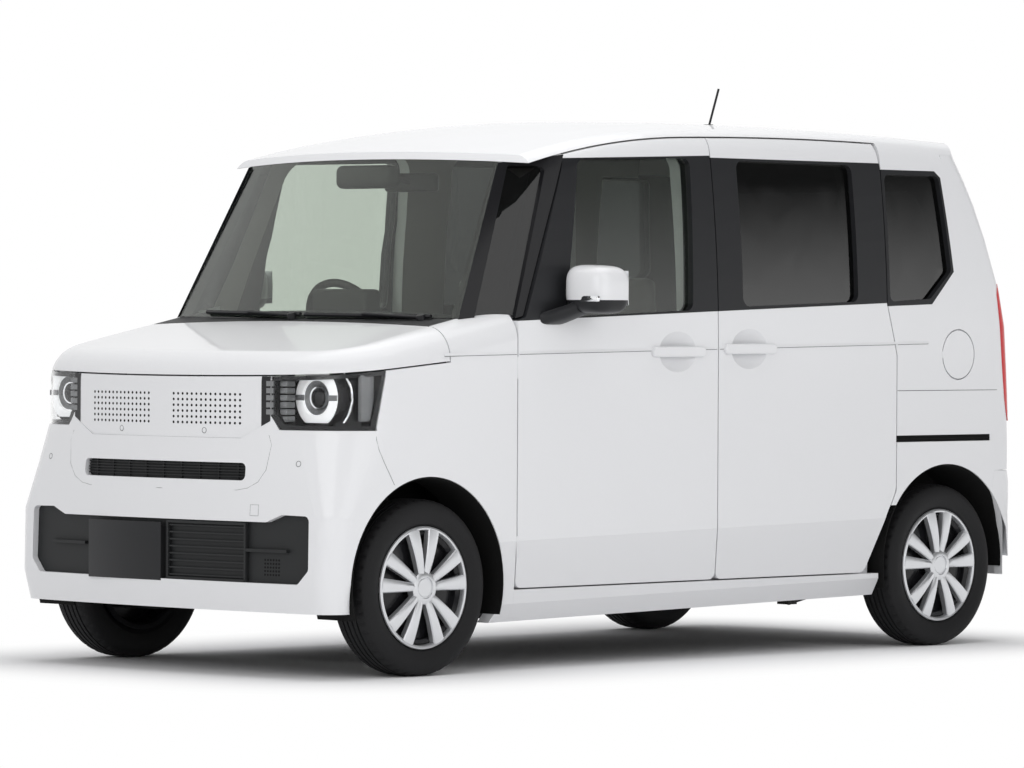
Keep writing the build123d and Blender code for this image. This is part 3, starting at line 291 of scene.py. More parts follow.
looks = {
    # name, roughness, other sockets, dark and light tone, grain scale, then bump and its depth
    "paint": ("pearlPaint", 0.38, {"Coat Weight": 0.55, "Coat Roughness": 0.06, "Specular IOR Level": 0.3},
              (0.775, 0.780, 0.800), (0.815, 0.820, 0.835), 1400),
    "gloss": ("glossBlack", 0.16, {"Specular IOR Level": 0.3},
              (0.010, 0.010, 0.011), (0.014, 0.014, 0.016), 600),
    "satin": ("satinBlack", 0.34, {"Specular IOR Level": 0.25},
              (0.013, 0.013, 0.015), (0.019, 0.020, 0.022), 900, 0.08),
    "grained": ("grainedBlack", 0.56, {"Specular IOR Level": 0.3},
                (0.012, 0.013, 0.014), (0.020, 0.021, 0.022), 1100, 0.25),
    "deep": ("deepBlack", 0.85, {"Specular IOR Level": 0.2},
             (0.004, 0.004, 0.004), (0.008, 0.008, 0.008), 300),
    "red": ("lampRed", 0.22, {"Coat Weight": 0.25, "Specular IOR Level": 0.2},
            (0.50, 0.004, 0.008), (0.62, 0.008, 0.012), 260, 0.15),
    "rubber": ("tyreRubber", 0.72, {"Specular IOR Level": 0.3},
               (0.008, 0.008, 0.009), (0.014, 0.014, 0.015), 500, 0.2),
    "silver": ("coverSilver", 0.30, {"Metallic": 0.75, "Coat Weight": 0.4},
               (0.60, 0.61, 0.63), (0.72, 0.73, 0.75), 2200),
    "chrome": ("chromeBright", 0.10, {"Metallic": 1.0}, (0.82, 0.83, 0.85), (0.90, 0.91, 0.92), 200),
    "lampWhite": ("lampWhite", 0.25, {"Emission Color": (1, 1, 1, 1), "Emission Strength": 0.22},
                  (0.90, 0.91, 0.92), (0.95, 0.96, 0.97), 120),
    # grey for the lamp insides, seams and sensor rings; on the body lines the same grey is painted shade
    "lampGrey": ("lampGrey", 0.35, {}, (0.17, 0.175, 0.18), (0.23, 0.235, 0.24), 240),
    "cabin": ("cabinPlastic", 0.6, {}, (0.030, 0.029, 0.028), (0.045, 0.044, 0.042), 1500, 0.25),
    "lining": ("headlining", 0.9, {}, (0.30, 0.29, 0.27), (0.36, 0.35, 0.33), 900, 0.3),
    "steel": ("chassisSteel", 0.6, {"Metallic": 0.3},
              (0.015, 0.015, 0.016), (0.035, 0.034, 0.033), 90, 0.2, 0.001),
    "cast": ("castMetal", 0.5, {"Metallic": 0.8}, (0.22, 0.22, 0.23), (0.32, 0.32, 0.33), 300, 0.4, 0.001),
    "tank": ("tankPlastic", 0.5, {}, (0.015, 0.015, 0.016), (0.025, 0.025, 0.026), 200, 0.2, 0.001),
}
finishes = {key: makeFinish(*row) for key, row in looks.items()}
finishes["side"] = sidePaint()
finishes["cloth"] = seatCloth()
finishes["clear"] = makeGlass("clearGlass", (0.66, 0.71, 0.66), 1.45)
finishes["screen"] = makeGlass("screenGlass", (0.66, 0.71, 0.65), 1.45)
finishes["privacy"] = makeGlass("privacyGlass", (0.030, 0.032, 0.032), 1.65)
finishes["lens"] = makeGlass("lensClear", (0.97, 0.975, 0.98), 1.2)
print("finishes made:", len(finishes))

finishNodes = {
    "paint": ("bonnet", "front_bumper", "front_door_handle", "fuel_lid", "grille_panel", "rear_bumper",
              "roof_panel", "sliding_door_handles", "tailgate"),
    "side": ("fender", "front_door", "quarter_panel", "side_frame", "sliding_door"),
    "gloss": ("front_pillar", "headlamp_bodies", "mirror"),
    "satin": ("antenna",),
    "grained": ("cowl", "front_grilles"),
    "deep": ("underbody",),
    "clear": ("front_door_glass",),
    "screen": ("windscreen",),
    "privacy": ("fixed_side_glass", "sliding_door_glass", "tailgate_glass"),
    "lens": ("headlamp_lenses",),
    "red": ("tail_lamps",),
    "rubber": ("tyre_front", "tyre_rear"),
    "silver": ("wheel_front", "wheel_rear"),
    "cabin": ("dashboard", "steering_wheel"),
    "cloth": ("front_seats", "rear_bench"),
    "steel": ("exhaust", "front_subframe", "knuckle", "rear_axle"),
    "cast": ("engine",),
    "tank": ("fuel_tank",),
}
finishOf = {node: finish for finish, nodes in finishNodes.items() for node in nodes}
crease = 24  # degrees, for the solids and the skins made from them


def smoothNode(obj):
    for face in obj.data.polygons:
        face.use_smooth = True
    weld = obj.modifiers.new("weld", "WELD")
    weld.merge_threshold = 0.00002
    split = obj.modifiers.new("split", "EDGE_SPLIT")
    split.split_angle = math.radians(crease)
    level = obj.modifiers.new("level", "WEIGHTED_NORMAL")
    level.mode = "FACE_AREA"
    level.keep_sharp = True


def dressNodes():
    for name, obj in cadNodes.items():
        plain = name.removesuffix("_left").removesuffix("_right")
        obj.data.materials.clear()
        obj.data.materials.append(finishes[finishOf[plain]])
        smoothNode(obj)


sides = ((1, "left"), (-1, "right"))


def mm(*place):
    return Vector(place) / 1000


def addPiece(name, bm, finish, body="body", angle=32):
    bmesh.ops.recalc_face_normals(bm, faces=bm.faces[:])
    if bm.faces.layers.int.get("done"):
        bm.faces.layers.int.remove(doneLayer(bm))
    piece = placeMesh(name, bm)
    mesh = piece.data
    keys = [finish] if isinstance(finish, str) else finish
    for key in keys:
        mesh.materials.append(finishes[key])
    for face in mesh.polygons:
        face.use_smooth = True
    mesh.set_sharp_from_angle(angle=math.radians(angle))
    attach(piece, body)
    return piece


def doneLayer(bm):
    return bm.faces.layers.int.get("done") or bm.faces.layers.int.new("done")


def mark(bm):
    done = doneLayer(bm)
    for face in bm.faces:
        face[done] = 1


def tint(bm, index):
    done = doneLayer(bm)
    for face in bm.faces:
        if not face[done]:
            face.material_index = index
            face[done] = 1


def roundEdges(bm, verts, soft, steps):
    edges = list(dict.fromkeys(edge for vert in verts for edge in vert.link_edges))
    bmesh.ops.bevel(bm, geom=edges, offset=soft / 1000, offset_type="OFFSET", segments=steps, profile=0.5,
                    affect="EDGES", material=-1)


def addBox(bm, low, high, soft=0.0, steps=2):
    start, size = mm(*low), mm(*high) - mm(*low)
    made = bmesh.ops.create_cube(bm, size=1)["verts"]
    for vert in made:
        vert.co = Vector(start[k] + (vert.co[k] + 0.5) * size[k] for k in range(3))
    if soft:
        roundEdges(bm, made, soft, steps)


def addLathe(bm, profile, centre, axis, steps):
    hub, along = mm(*centre), Vector(axis).normalized()
    across = along.orthogonal().normalized()
    chain = [bm.verts.new(hub + across * (r / 1000) + along * (a / 1000)) for r, a in profile]
    edges = [bm.edges.new(pair) for pair in zip(chain, chain[1:])]
    bmesh.ops.spin(bm, geom=chain + edges, cent=hub, axis=along, dvec=(0, 0, 0), angle=2 * math.pi,
                   steps=steps, use_merge=True, use_duplicate=False)
    bmesh.ops.remove_doubles(bm, verts=bm.verts[:], dist=0.000002)


def addLoft(bm, rings, caps=True):
    rows = [[bm.verts.new(mm(*spot)) for spot in ring] for ring in rings]
    count = len(rows[0])
    for near, far in zip(rows, rows[1:]):
        for k in range(count):
            n = (k + 1) % count
            bm.faces.new((near[k], near[n], far[n], far[k]))
    if caps:
        bm.faces.new(rows[0])
        bm.faces.new(list(reversed(rows[-1])))


def addTube(bm, path, radius, ring=10):
    rings = []
    for k, spot in enumerate(path):
        ahead = Vector(path[min(k + 1, len(path) - 1)]) - Vector(path[max(k - 1, 0)])
        right = ahead.cross(Vector((0.1, 0.05, 1))).normalized()
        up = right.cross(ahead).normalized()
        turns = [2 * math.pi * n / ring for n in range(ring)]
        rings.append([Vector(spot) + (right * math.cos(t) + up * math.sin(t)) * radius for t in turns])
    addLoft(bm, rings)


def nodeMesh(name):
    bm = bmesh.new()
    bm.from_mesh(cadNodes[name].data)
    bmesh.ops.remove_doubles(bm, verts=bm.verts[:], dist=0.00002)
    return bm


def cutPlane(bm, point, normal, keepAhead):
    geom = bm.verts[:] + bm.edges[:] + bm.faces[:]
    bmesh.ops.bisect_plane(bm, geom=geom, dist=0.000001, plane_co=mm(*point), plane_no=Vector(normal),
                           clear_outer=not keepAhead, clear_inner=keepAhead)


def keepFaces(bm, wanted):
    bm.normal_update()
    spare = [face for face in bm.faces if not wanted(face)]
    bmesh.ops.delete(bm, geom=spare, context="FACES")


def lift(bm, height):
    bm.normal_update()
    moves = [(vert, vert.normal * (height / 1000)) for vert in bm.verts]
    for vert, move in moves:
        vert.co += move


def toSide(bm, side):
    bmesh.ops.scale(bm, vec=(1, side, 1), verts=bm.verts[:])


blackBands = {
    "belt": (839, 0, 1114),
    "beltRise": 0.03567,
    "proud": 0.5,
    "frontTop": (-20, 0, 1658),
    "frontRise": 0.0342,
    "slideTop": (0, 0, 1655),
}


def makeBands():
    tops = {"front_door": ("frontTop", blackBands["frontRise"]), "sliding_door": ("slideTop", 0)}
    for side, word in sides:
        for door, (spot, rise) in tops.items():
            bm = nodeMesh(f"{door}_{word}")
            cutPlane(bm, blackBands["belt"], (blackBands["beltRise"], 0, 1), True)
            cutPlane(bm, blackBands[spot], (rise, 0, 1), False)
            keepFaces(bm, lambda face: face.normal.y * side > -0.5)
            lift(bm, blackBands["proud"])
            body = f"front_door_{word}" if door == "front_door" else "body"
            addPiece(f"{door}_band_{word}", bm, "satin", body, crease)


innerTrim = {
    "proud": 0.8,
    "nodes": {  # the way the lined faces look, how nearly, and the finish
        "roof_panel": ((0, 0, -1), 0.4, "lining"),
        "tailgate": ((1, 0, 0), 0.5, "cabin"),
        "front_door": ((0, -1, 0), 0.6, "cabin"),
        "sliding_door": ((0, -1, 0), 0.6, "cabin"),
        "side_frame": ((0, -1, 0), 0.6, "lining"),
        "quarter_panel": ((0, -1, 0), 0.6, "cabin"),
    },
}


def makeTrims():
    for plain, (facing, least, finish) in innerTrim["nodes"].items():
        paired = plain not in cadNodes
        for side, word in sides if paired else ((1, ""),):
            node = f"{plain}_{word}" if paired else plain
            want = Vector((facing[0], facing[1] * side, facing[2]))
            bm = nodeMesh(node)
            keepFaces(bm, lambda face: face.normal.dot(want) > least)
            lift(bm, innerTrim["proud"])
            body = node if plain in ("front_door", "tailgate") else "body"
            addPiece(f"{node}_trim", bm, finish, body, crease)


wheelCover = {
    "middles": {"front_left": (1232.5, 652.5), "front_right": (1232.5, -652.5),
                "rear_left": (-1287.5, 652.5), "rear_right": (-1287.5, -652.5)},
    "tyreR": 278,
    "pairs": 5,
    "spread": 14,  # degrees each side of a pair's middle
    "spokeIn": 12,
    "spokeOut": 24,
    "spokeR": (36, 60, 90, 120, 150, 170, 185),
    "face": 76,
    "dish": 7,
    "dishFrom": 105,
    "dishReach": 90,
    "rim": ((60, 16), (60, 30), (120, 34), (160, 30), (164, 44), (176, 52), (177.5, 40), (177.5, -62),
            (189, -66), (186, -72), (170, -70), (164, -60), (164, 10), (150, 20), (60, 16)),
    "ring": ((179, 50), (180, 63), (182.5, 68), (187, 69), (192, 66.5), (193.5, 62), (188, 56), (179, 50)),
    "cap": ((0, 71), (28, 71), (30, 69.5), (33, 69.5)),
}


def coverHeight(r):
    across = (r - wheelCover["dishFrom"]) / wheelCover["dishReach"]
    return wheelCover["face"] - wheelCover["dish"] * across ** 2


def addSpoke(bm, angle):
    first, last = wheelCover["spokeR"][0], wheelCover["spokeR"][-1]
    c, s = math.cos(angle), math.sin(angle)
    rings = []
    for r in wheelCover["spokeR"]:
        grow = wheelCover["spokeOut"] - wheelCover["spokeIn"]
        half = wheelCover["spokeIn"] + grow * (r - first) / (last - first)
        top = coverHeight(r)
        section = [(-half, top - 24), (-half, top - 6), (-half + 3, top - 2.5), (-half * 0.2, top + 0.5),
                   (half - 3, top - 2.5), (half, top - 6), (half, top - 24)]
        rings.append([(r * s + w * c, y, r * c - w * s) for w, y in section])
    addLoft(bm, rings)


def makeWheels():
    hub = [*wheelCover["cap"], (35, coverHeight(40) + 1.5), (46, coverHeight(46)), (52, coverHeight(52) - 4),
           (52, 44)]
    axis = (0, 1, 0)
    for name, (x, y) in wheelCover["middles"].items():
        bm = bmesh.new()
        addLathe(bm, wheelCover["ring"], (0, 0, 0), axis, 96)
        addLathe(bm, hub, (0, 0, 0), axis, 48)
        for k in range(wheelCover["pairs"]):
            for lean in (-1, 1):
                addSpoke(bm, math.radians(360 / wheelCover["pairs"] * k + lean * wheelCover["spread"]))
        mark(bm)
        addLathe(bm, wheelCover["rim"], (0, 0, 0), axis, 96)
        tint(bm, 1)
        toSide(bm, 1 if y > 0 else -1)
        bmesh.ops.translate(bm, vec=mm(x, y, wheelCover["tyreR"]), verts=bm.verts[:])
        piece = addPiece("cover_" + name, bm, ["silver", "gloss"], "wheel_" + name, 30)
        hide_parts("wheel_" + name)


tread = {
    "profile": [(178.4, 41), (185, 50), (196, 60), (202, 66.5), (205, 67), (214, 71.5), (230, 75.5),
                (244, 75.8), (255, 73), (264, 68.5), (270, 63), (274, 56), (276, 50), (277, 44)],
    "ribs": [(277.6, 33.5), (270, 32.5), (270, 27.5), (277.8, 26.5), (278, 14), (271, 13), (271, 8),
             (278, 7)],
    "steps": 192,
    "pitch": 4,
    "shoulder": 35,
    "slotFrom": 272,
    "slotDeep": 5,
}


def makeTyres():
    half = tread["profile"] + tread["ribs"]
    whole = half + [(r, -y) for r, y in reversed(half)]
    z = wheelCover["tyreR"]
    for name, (x, y) in wheelCover["middles"].items():
        bm = bmesh.new()
        rings = []
        for k in range(tread["steps"]):
            turn = 2 * math.pi * k / tread["steps"]
            ring = []
            for r, a in whole:
                shoulder = abs(a) > tread["shoulder"] and r > tread["slotFrom"]
                cut = tread["slotDeep"] if shoulder and k % tread["pitch"] == 0 else 0
                ring.append((x + (r - cut) * math.cos(turn), y + a, z + (r - cut) * math.sin(turn)))
            rings.append(ring)
        addLoft(bm, rings + rings[:1], False)
        bmesh.ops.remove_doubles(bm, verts=bm.verts[:], dist=0.000005)
        piece = addPiece("tread_" + name, bm, "rubber", "wheel_" + name, 28)
        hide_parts("tyre_" + name)


# height, foremost x and plan radius
bumperRows = ((830, 1690, 2420), (790, 1690, 2420), (640, 1696, 3400), (500, 1697.5, 5200),
              (300, 1697.5, 6000), (205, 1682, 6000))


def bumperX(y, z):
    for (highZ, highX, highR), (lowZ, lowX, lowR) in zip(bumperRows, bumperRows[1:]):
        if z >= lowZ:
            part = (z - lowZ) / (highZ - lowZ)
            high = highX - highR + math.sqrt(highR ** 2 - y ** 2)
            low = lowX - lowR + math.sqrt(lowR ** 2 - y ** 2)
            return low + (high - low) * part
    return lowX


def addBar(bm, fromY, toY, z, tall, near, far, count=9):
    rings = []
    for k in range(count):
        y = fromY + (toY - fromY) * k / (count - 1)
        x = bumperX(y, z)
        rings.append([(x - near, y, z - tall / 2), (x - near + 0.8, y, z), (x - near, y, z + tall / 2),
                      (x - far, y, z + tall / 2), (x - far, y, z - tall / 2)])
    addLoft(bm, rings)


grille = {
    "back": 24,
    "slotBars": (624, 633, 642, 651, 660),
    "slotHalf": 368,
    "slotRibs": 9,
    "ribLow": 614,
    "ribTop": 667,
    "meshFrom": 30,
    "meshTo": 372,
    "meshLow": 300,
    "meshTop": 478,
    "meshBars": 8,
    "ridge": (372, 545, 397),
    "plate": (-331, 9, 290, 474),
    "plateX": (1695.6, 1697.2),
}


def makeGrilles():
    back, half = grille["back"], grille["slotHalf"]
    fromY, toY, low, high = (grille[key] for key in ("meshFrom", "meshTo", "meshLow", "meshTop"))
    bm = bmesh.new()
    for z in grille["slotBars"]:
        addBar(bm, -half, half, z, 3.6, 13, back, 25)
    for k in range(grille["slotRibs"]):
        y = -half + 2 * half * (k + 0.5) / grille["slotRibs"]
        x = bumperX(y, 640)
        addBox(bm, (x - back, y - 2, grille["ribLow"]), (x - 17, y + 2, grille["ribTop"]))
    for k in range(grille["meshBars"]):
        z = low + (high - low) * (k + 0.5) / grille["meshBars"]
        addBar(bm, fromY + 6, toY - 6, z, 5, 12, back)
    for z in (low, high):
        addBar(bm, fromY, toY, z, 9, 8, back)
    for y in (fromY, toY):
        x = bumperX(y, 400)
        addBox(bm, (x - back, y - 4.5, low - 4), (x - 8, y + 4.5, high + 4), 1.5)
    fromY, toY, z = grille["ridge"]
    for side in (1, -1):
        addBar(bm, side * fromY, side * toY, z, 10, 9, back)
    addPiece("grille_bars", bm, "grained")
    fromY, toY, low, high = grille["plate"]
    fromX, toX = grille["plateX"]
    bm = bmesh.new()
    addBox(bm, (fromX, fromY, low), (toX, toY, high), 0.6)
    addPiece("plate_blank", bm, "satin")


rearCorner = {
    "profile": ((1900, 1368), (1680, 1462), (1402, 1575), (1245, 1632), (1088, 1668), (780, 1688),
                (120, 1690)),  # height, then how far back
    "planR": 8000,
    "length": 1697.5,
    "halfWidth": 737.5,
    "rise": 0.016,
    "shoulder": 1000,
    "tumbleR": 5000,
    "startAhead": 150,
    "endY": 637,
    "steps": 12,
    # height, corner radius
    "panel": ((602, 42), (700, 42), (900, 42), (1100, 42), (1250, 42), (1400, 44), (1520, 50), (1600, 66),
              (1660, 84), (1690, 95)),
    "panelSkin": (0.6, -2.5),  # out of and into the solids
    # height, how far back
    "bumper": ((300, 1697.0), (400, 1697.0), (500, 1697.0), (560, 1696.5), (599, 1690)),
    "bumperR": 42,
    "bumperSkin": (0.3, -2.5),
    "bumperAhead": 130,
    "archR": 343,
    # height, front edge
    "lamp": ((1248, -1592), (1232, -1578), (1212, -1574), (1100, -1588), (950, -1602), (850, -1614),
             (800, -1626), (772, -1642)),
    "lampR": 40,
    "lampSkin": (2.6, -1.0),
    "clipSteps": 15,
}


def rearX(z):
    rows = rearCorner["profile"]
    for (highZ, highX), (lowZ, lowX) in zip(rows, rows[1:]):
        if z >= lowZ:
            return lowX + (highX - lowX) * (z - lowZ) / (highZ - lowZ)
    return lowX


def sideHalf(x, z):
    up = max(z + rearCorner["rise"] * x - rearCorner["shoulder"], 0)
    return rearCorner["halfWidth"] - rearCorner["tumbleR"] + math.sqrt(rearCorner["tumbleR"] ** 2 - up ** 2)


def cornerPath(z, radius, proud, far=None):
    hub = rearCorner["planR"] - rearCorner["length"]
    far = far or rearX(z)
    reach = hub + far
    half = sideHalf(-far, z)
    cy = half - radius
    cx = hub - math.sqrt((reach - radius) ** 2 - cy ** 2)
    turn = math.atan2(cy, hub - cx)
    path = [(rearCorner["startAhead"] - far, half + min(proud, 0) - 0.3)]
    for k in range(rearCorner["steps"] + 1):
        angle = math.pi / 2 + (math.pi / 2 - turn) * k / rearCorner["steps"]
        path.append((cx + (radius + proud) * math.cos(angle), cy + (radius + proud) * math.sin(angle)))
    path.append((hub - math.sqrt((reach + proud) ** 2 - rearCorner["endY"] ** 2), rearCorner["endY"]))
    return path


def clipPath(path, startX):
    kept = []
    for (ax, ay), (bx, by) in zip(path, path[1:]):
        if ax > startX >= bx:
            part = (startX - ax) / (bx - ax)
            kept.append(Vector((startX, ay + (by - ay) * part)))
        if bx < startX:
            kept.append(Vector((bx, by)))
    spans = [0]
    for near, far in zip(kept, kept[1:]):
        spans.append(spans[-1] + (far - near).length)
    even = []
    for k in range(rearCorner["clipSteps"]):
        want = spans[-1] * k / (rearCorner["clipSteps"] - 1)
        n = max(i for i in range(len(spans) - 1) if spans[i] <= want + 0.000001)
        even.append(kept[n].lerp(kept[n + 1], (want - spans[n]) / max(spans[n + 1] - spans[n], 0.000001)))
    return even


def skinRing(paths, side, z):
    outer, inner = paths
    return [(x, y * side, z) for x, y in outer + inner[::-1]]


def makeRearCorners():
    for side, word in sides:
        bm = bmesh.new()
        rings = []
        for z, radius in rearCorner["panel"]:
            paths = [cornerPath(z, radius, proud) for proud in rearCorner["panelSkin"]]
            rings.append(skinRing(paths, side, z))
        addLoft(bm, rings)
        rings = []
        for z, far in rearCorner["bumper"]:
            arch = math.sqrt(rearCorner["archR"] ** 2 - (z - archLiner["z"]) ** 2)
            start = min(archLiner["rearX"] - arch, rearCorner["bumperAhead"] - far)
            paths = [cornerPath(z, rearCorner["bumperR"], proud, far) for proud in rearCorner["bumperSkin"]]
            rings.append(skinRing([clipPath(path, start) for path in paths], side, z))
        addLoft(bm, rings)
        addPiece("rear_corner_" + word, bm, "paint")
        bm = bmesh.new()
        rings = []
        for z, front in rearCorner["lamp"]:
            paths = [cornerPath(z, rearCorner["lampR"], proud) for proud in rearCorner["lampSkin"]]
            rings.append(skinRing([clipPath(path, front) for path in paths], side, z))
        addLoft(bm, rings)
        lamp = addPiece("tail_lamp_" + word, bm, "red")
        if side == 1:
            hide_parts("tail_lamps")


rearSide = {
    "rail": (-1598, -1038, 705, 726),
    "railY": (717, 733),
    "lipY": (729, 736),
    "seam": (-1592, -1038, 880),
    "seamY": (736, 737.7),
    "seamHalf": 0.9,
    "window": ((-978, 1168), (-978, 1634), (-1270, 1634), (-1300, 1612), (-1343, 1288), (-1222, 1176)),
    "proud": 0.5,
}


def makeRearSides():
    for side, word in sides:
        fromX, toX, low, high = rearSide["rail"]
        (innerY, outerY), (lipIn, lipOut) = rearSide["railY"], rearSide["lipY"]
        bm = bmesh.new()
        addBox(bm, (fromX, innerY, low), (toX, outerY, high), 1.5)
        addBox(bm, (fromX + 4, lipIn, low + 8), (toX, lipOut, low + 12), 1)
        (fromX, toX, z), (innerY, outerY) = rearSide["seam"], rearSide["seamY"]
        half = rearSide["seamHalf"]
        addBox(bm, (fromX, innerY, z - half), (toX, outerY, z + half))
        toSide(bm, side)
        addPiece("rail_strip_" + word, bm, "deep")
        bm = nodeMesh("quarter_panel_" + word)
        edge = rearSide["window"]
        for (ax, az), (bx, bz) in zip(edge, edge[1:] + edge[:1]):
            cutPlane(bm, (ax, 0, az), (az - bz, 0, bx - ax), True)
        keepFaces(bm, lambda face: face.normal.y * side > -0.5)
        lift(bm, rearSide["proud"])
        addPiece("quarter_band_" + word, bm, "satin", "body", crease)


archLiner = {
    "frontX": 1226.5,
    "rearX": -1305.5,
    "z": 288,
    "radius": 336.5,
    "thick": 3.5,
    "fromY": 566,
    "toY": 735,
    "front": (-18, 198),  # degrees
    "rear": (-14, 184),
    "steps": 40,
    "narrow": 32,  # keeps the rear one clear of the rounded corner
    "narrowFrom": 0.72,
    "narrowOver": 0.2,
}


def makeLiners():
    inner, thick = archLiner["fromY"], archLiner["thick"]
    for side, word in sides:
        for place in ("front", "rear"):
            x = archLiner[place + "X"]
            fromTurn, toTurn = archLiner[place]
            bm = bmesh.new()
            rings = []
            for k in range(archLiner["steps"] + 1):
                angle = math.radians(fromTurn + (toTurn - fromTurn) * k / archLiner["steps"])
                wide = archLiner["toY"]
                if place == "rear":
                    share = (-math.cos(angle) - archLiner["narrowFrom"]) / archLiner["narrowOver"]
                    wide -= archLiner["narrow"] * min(max(share, 0), 1)
                ring = []
                for inset, y in ((0, inner), (0, wide), (thick, wide), (thick, inner)):
                    reach = archLiner["radius"] - inset
                    z = archLiner["z"] + reach * math.sin(angle)
                    ring.append((x + reach * math.cos(angle), y * side, z))
                rings.append(ring)
            addLoft(bm, rings)
            addPiece(f"liner_{place}_{word}", bm, "deep")


headlamp = {
    "y": 575,
    "z": 873,
    "ring": ((54, 1561), (54, 1563), (60, 1567), (86, 1567), (92, 1564), (92, 1561)),
    "cut": 78,
    "cone": ((54, 1562.5), (50, 1560), (40, 1548), (36, 1545)),
    "eye": ((31, 1546), (31, 1557), (35, 1559), (35, 1546)),
    "dome": (30, 1555, 12),  # radius, x and depth
    "tab": (73, 19, 9),  # off the middle, half width and half height
    "tabX": (1562, 1569),
    "slats": 7,
    "slatFrom": 806,
    "slatStep": 22,
    "slatX": (1586, 1622),
    "slatY": (472, 504),
    "wrap": ((1448, 694, 800), (1504, 712, 944)),
    "divider": (1514, 682, 77),  # middle, then half height
    "dividerBow": (20, 18),
    "bezelFrom": 421,
    "bezelProud": 0.7,
    "bezelSlats": (440, 453, 466),
}


def makeHeadlamps():
    axis = (1, 0, 0)
    lampY, lampZ = headlamp["y"], headlamp["z"]
    slatZ = [headlamp["slatFrom"] + headlamp["slatStep"] * k for k in range(headlamp["slats"])]
    holes = noseMarks["holes"]
    for side, word in sides:
        centre = (0, lampY, lampZ)
        bm = bmesh.new()
        addLathe(bm, headlamp["ring"], centre, axis, 72)
        for edge, ahead in ((headlamp["cut"], False), (-headlamp["cut"], True)):
            cutPlane(bm, (0, 0, lampZ + edge), (0, 0, 1), ahead)
        mark(bm)
        addLathe(bm, headlamp["eye"], centre, axis, 48)
        (x, y, half), (back, inward) = headlamp["divider"], headlamp["dividerBow"]
        bows = [k / 6 - 1 for k in range(13)]
        addTube(bm, [(x + back * t * t, y - inward * t * t, lampZ + half * t) for t in bows], 4.5)
        tint(bm, 1)
        radius, x, deep = headlamp["dome"]
        turns = [math.radians(a) for a in range(0, 91, 10)]
        addLathe(bm, [(radius * math.cos(t), x + deep * math.sin(t)) for t in turns], centre, axis, 48)
        tint(bm, 2)
        addLathe(bm, headlamp["cone"], centre, axis, 60)
        (off, wide, tall), (fromX, toX) = headlamp["tab"], headlamp["tabX"]
        for y in (lampY - off, lampY + off):
            addBox(bm, (fromX, y - wide, lampZ - tall), (toX, y + wide, lampZ + tall), 2)
        (fromX, toX), (fromY, toY) = headlamp["slatX"], headlamp["slatY"]
        for z in slatZ:
            addBox(bm, (fromX, fromY, z - 8.5), (toX, toY, z + 8.5), 2.5)
        addBox(bm, *headlamp["wrap"], 6)
        tint(bm, 3)
        toSide(bm, side)
        addPiece("headlamp_inside_" + word, bm, ["lampWhite", "chrome", "gloss", "lampGrey"])
        bm = nodeMesh("grille_panel")
        cutPlane(bm, (0, headlamp["bezelFrom"] * side, 0), (0, side, 0), True)
        keepFaces(bm, lambda face: face.normal.x > 0.3)
        lift(bm, headlamp["bezelProud"])
        mark(bm)
        for z in slatZ[1:-1]:
            rings = []
            for y in headlamp["bezelSlats"]:
                x = holes["noseX"] - y * y / (2 * holes["planR"]) + 1.2
                rings.append([(x - 6, y * side, z - 8), (x, y * side, z - 8), (x, y * side, z + 8),
                              (x - 6, y * side, z + 8)])
            addLoft(bm, rings)
        tint(bm, 1)
        addPiece("headlamp_bezel_" + word, bm, ["gloss", "lampGrey"])


mirrorHead = {
    "middle": (556, 826, 1216),
    "size": (82, 80, 78),
    "seam": 1182,
    "steps": 28,
    "ring": 40,
    "power": 0.55,
    "flatBack": 0.9,
    "sweep": (14, 4),  # back and down towards the outer end
    "inner": 0.985,
    # y, x, z, then half length and half height
    "foot": ((728, 672, 1122, 62, 22), (748, 664, 1128, 58, 22), (775, 628, 1144, 46, 22),
             (805, 588, 1164, 44, 22)),
    "footPower": 0.6,
    "footRing": 20,
    "glass": (-64, 64, 1166, 1276),  # y from the middle, then z
    "strip": (-6, 72, 1176, 1196),
}


def squircle(angle, power):
    c, s = math.cos(angle), math.sin(angle)
    return math.copysign(abs(c) ** power, c), math.copysign(abs(s) ** power, s)


def makeMirrors():
    (mx, my, mz), (dx, dy, dz) = mirrorHead["middle"], mirrorHead["size"]
    power, flat, (back, down) = mirrorHead["power"], mirrorHead["flatBack"], mirrorHead["sweep"]
    count = mirrorHead["footRing"]
    turns = [squircle(2 * math.pi * n / count, mirrorHead["footPower"]) for n in range(count)]
    for side, word in sides:
        bm = bmesh.new()
        rings = []
        for k in range(1, mirrorHead["steps"]):
            along, scale = squircle(math.pi * (1 - k / mirrorHead["steps"]), power)
            ring = []
            for n in range(mirrorHead["ring"]):
                c, s = squircle(2 * math.pi * n / mirrorHead["ring"], power)
                x = mx + dx * scale * (c if c > 0 else c * flat) - back * along
                ring.append((x, (my + dy * along) * side, mz + dz * scale * s - down * along))
            rings.append(ring)
        addLoft(bm, rings)
        cutPlane(bm, (0, 0, mirrorHead["seam"]), (0, 0, 1), True)
        mark(bm)
        hub = Vector((mx, my * side, mz))
        addLoft(bm, [[hub + (Vector(spot) - hub) * mirrorHead["inner"] for spot in ring] for ring in rings])
        foot = []
        for y, x, z, wide, tall in mirrorHead["foot"]:
            foot.append([(x + wide * c, y * side, z + tall * s) for c, s in turns])
        addLoft(bm, foot)
        tint(bm, 1)
        for part, fromX, toX, soft in (("glass", mx - dx * flat - 2, mx - dx * flat + 1, 1),
                                       ("strip", mx + dx * 0.80, mx + dx * 0.985, 5)):
            fromY, toY, low, high = mirrorHead[part]
            near, far = sorted(((my + fromY) * side, (my + toY) * side))
            addBox(bm, (fromX, near, low), (toX, far, high), soft)
        tint(bm, 2)
        piece = addPiece("mirror_head_" + word, bm, ["paint", "satin", "chrome"], "front_door_" + word)
        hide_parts("mirror_" + word)


screen = {"baseX": 1103, "baseZ": 1113, "lean": 290 / 539, "planR": 2600}


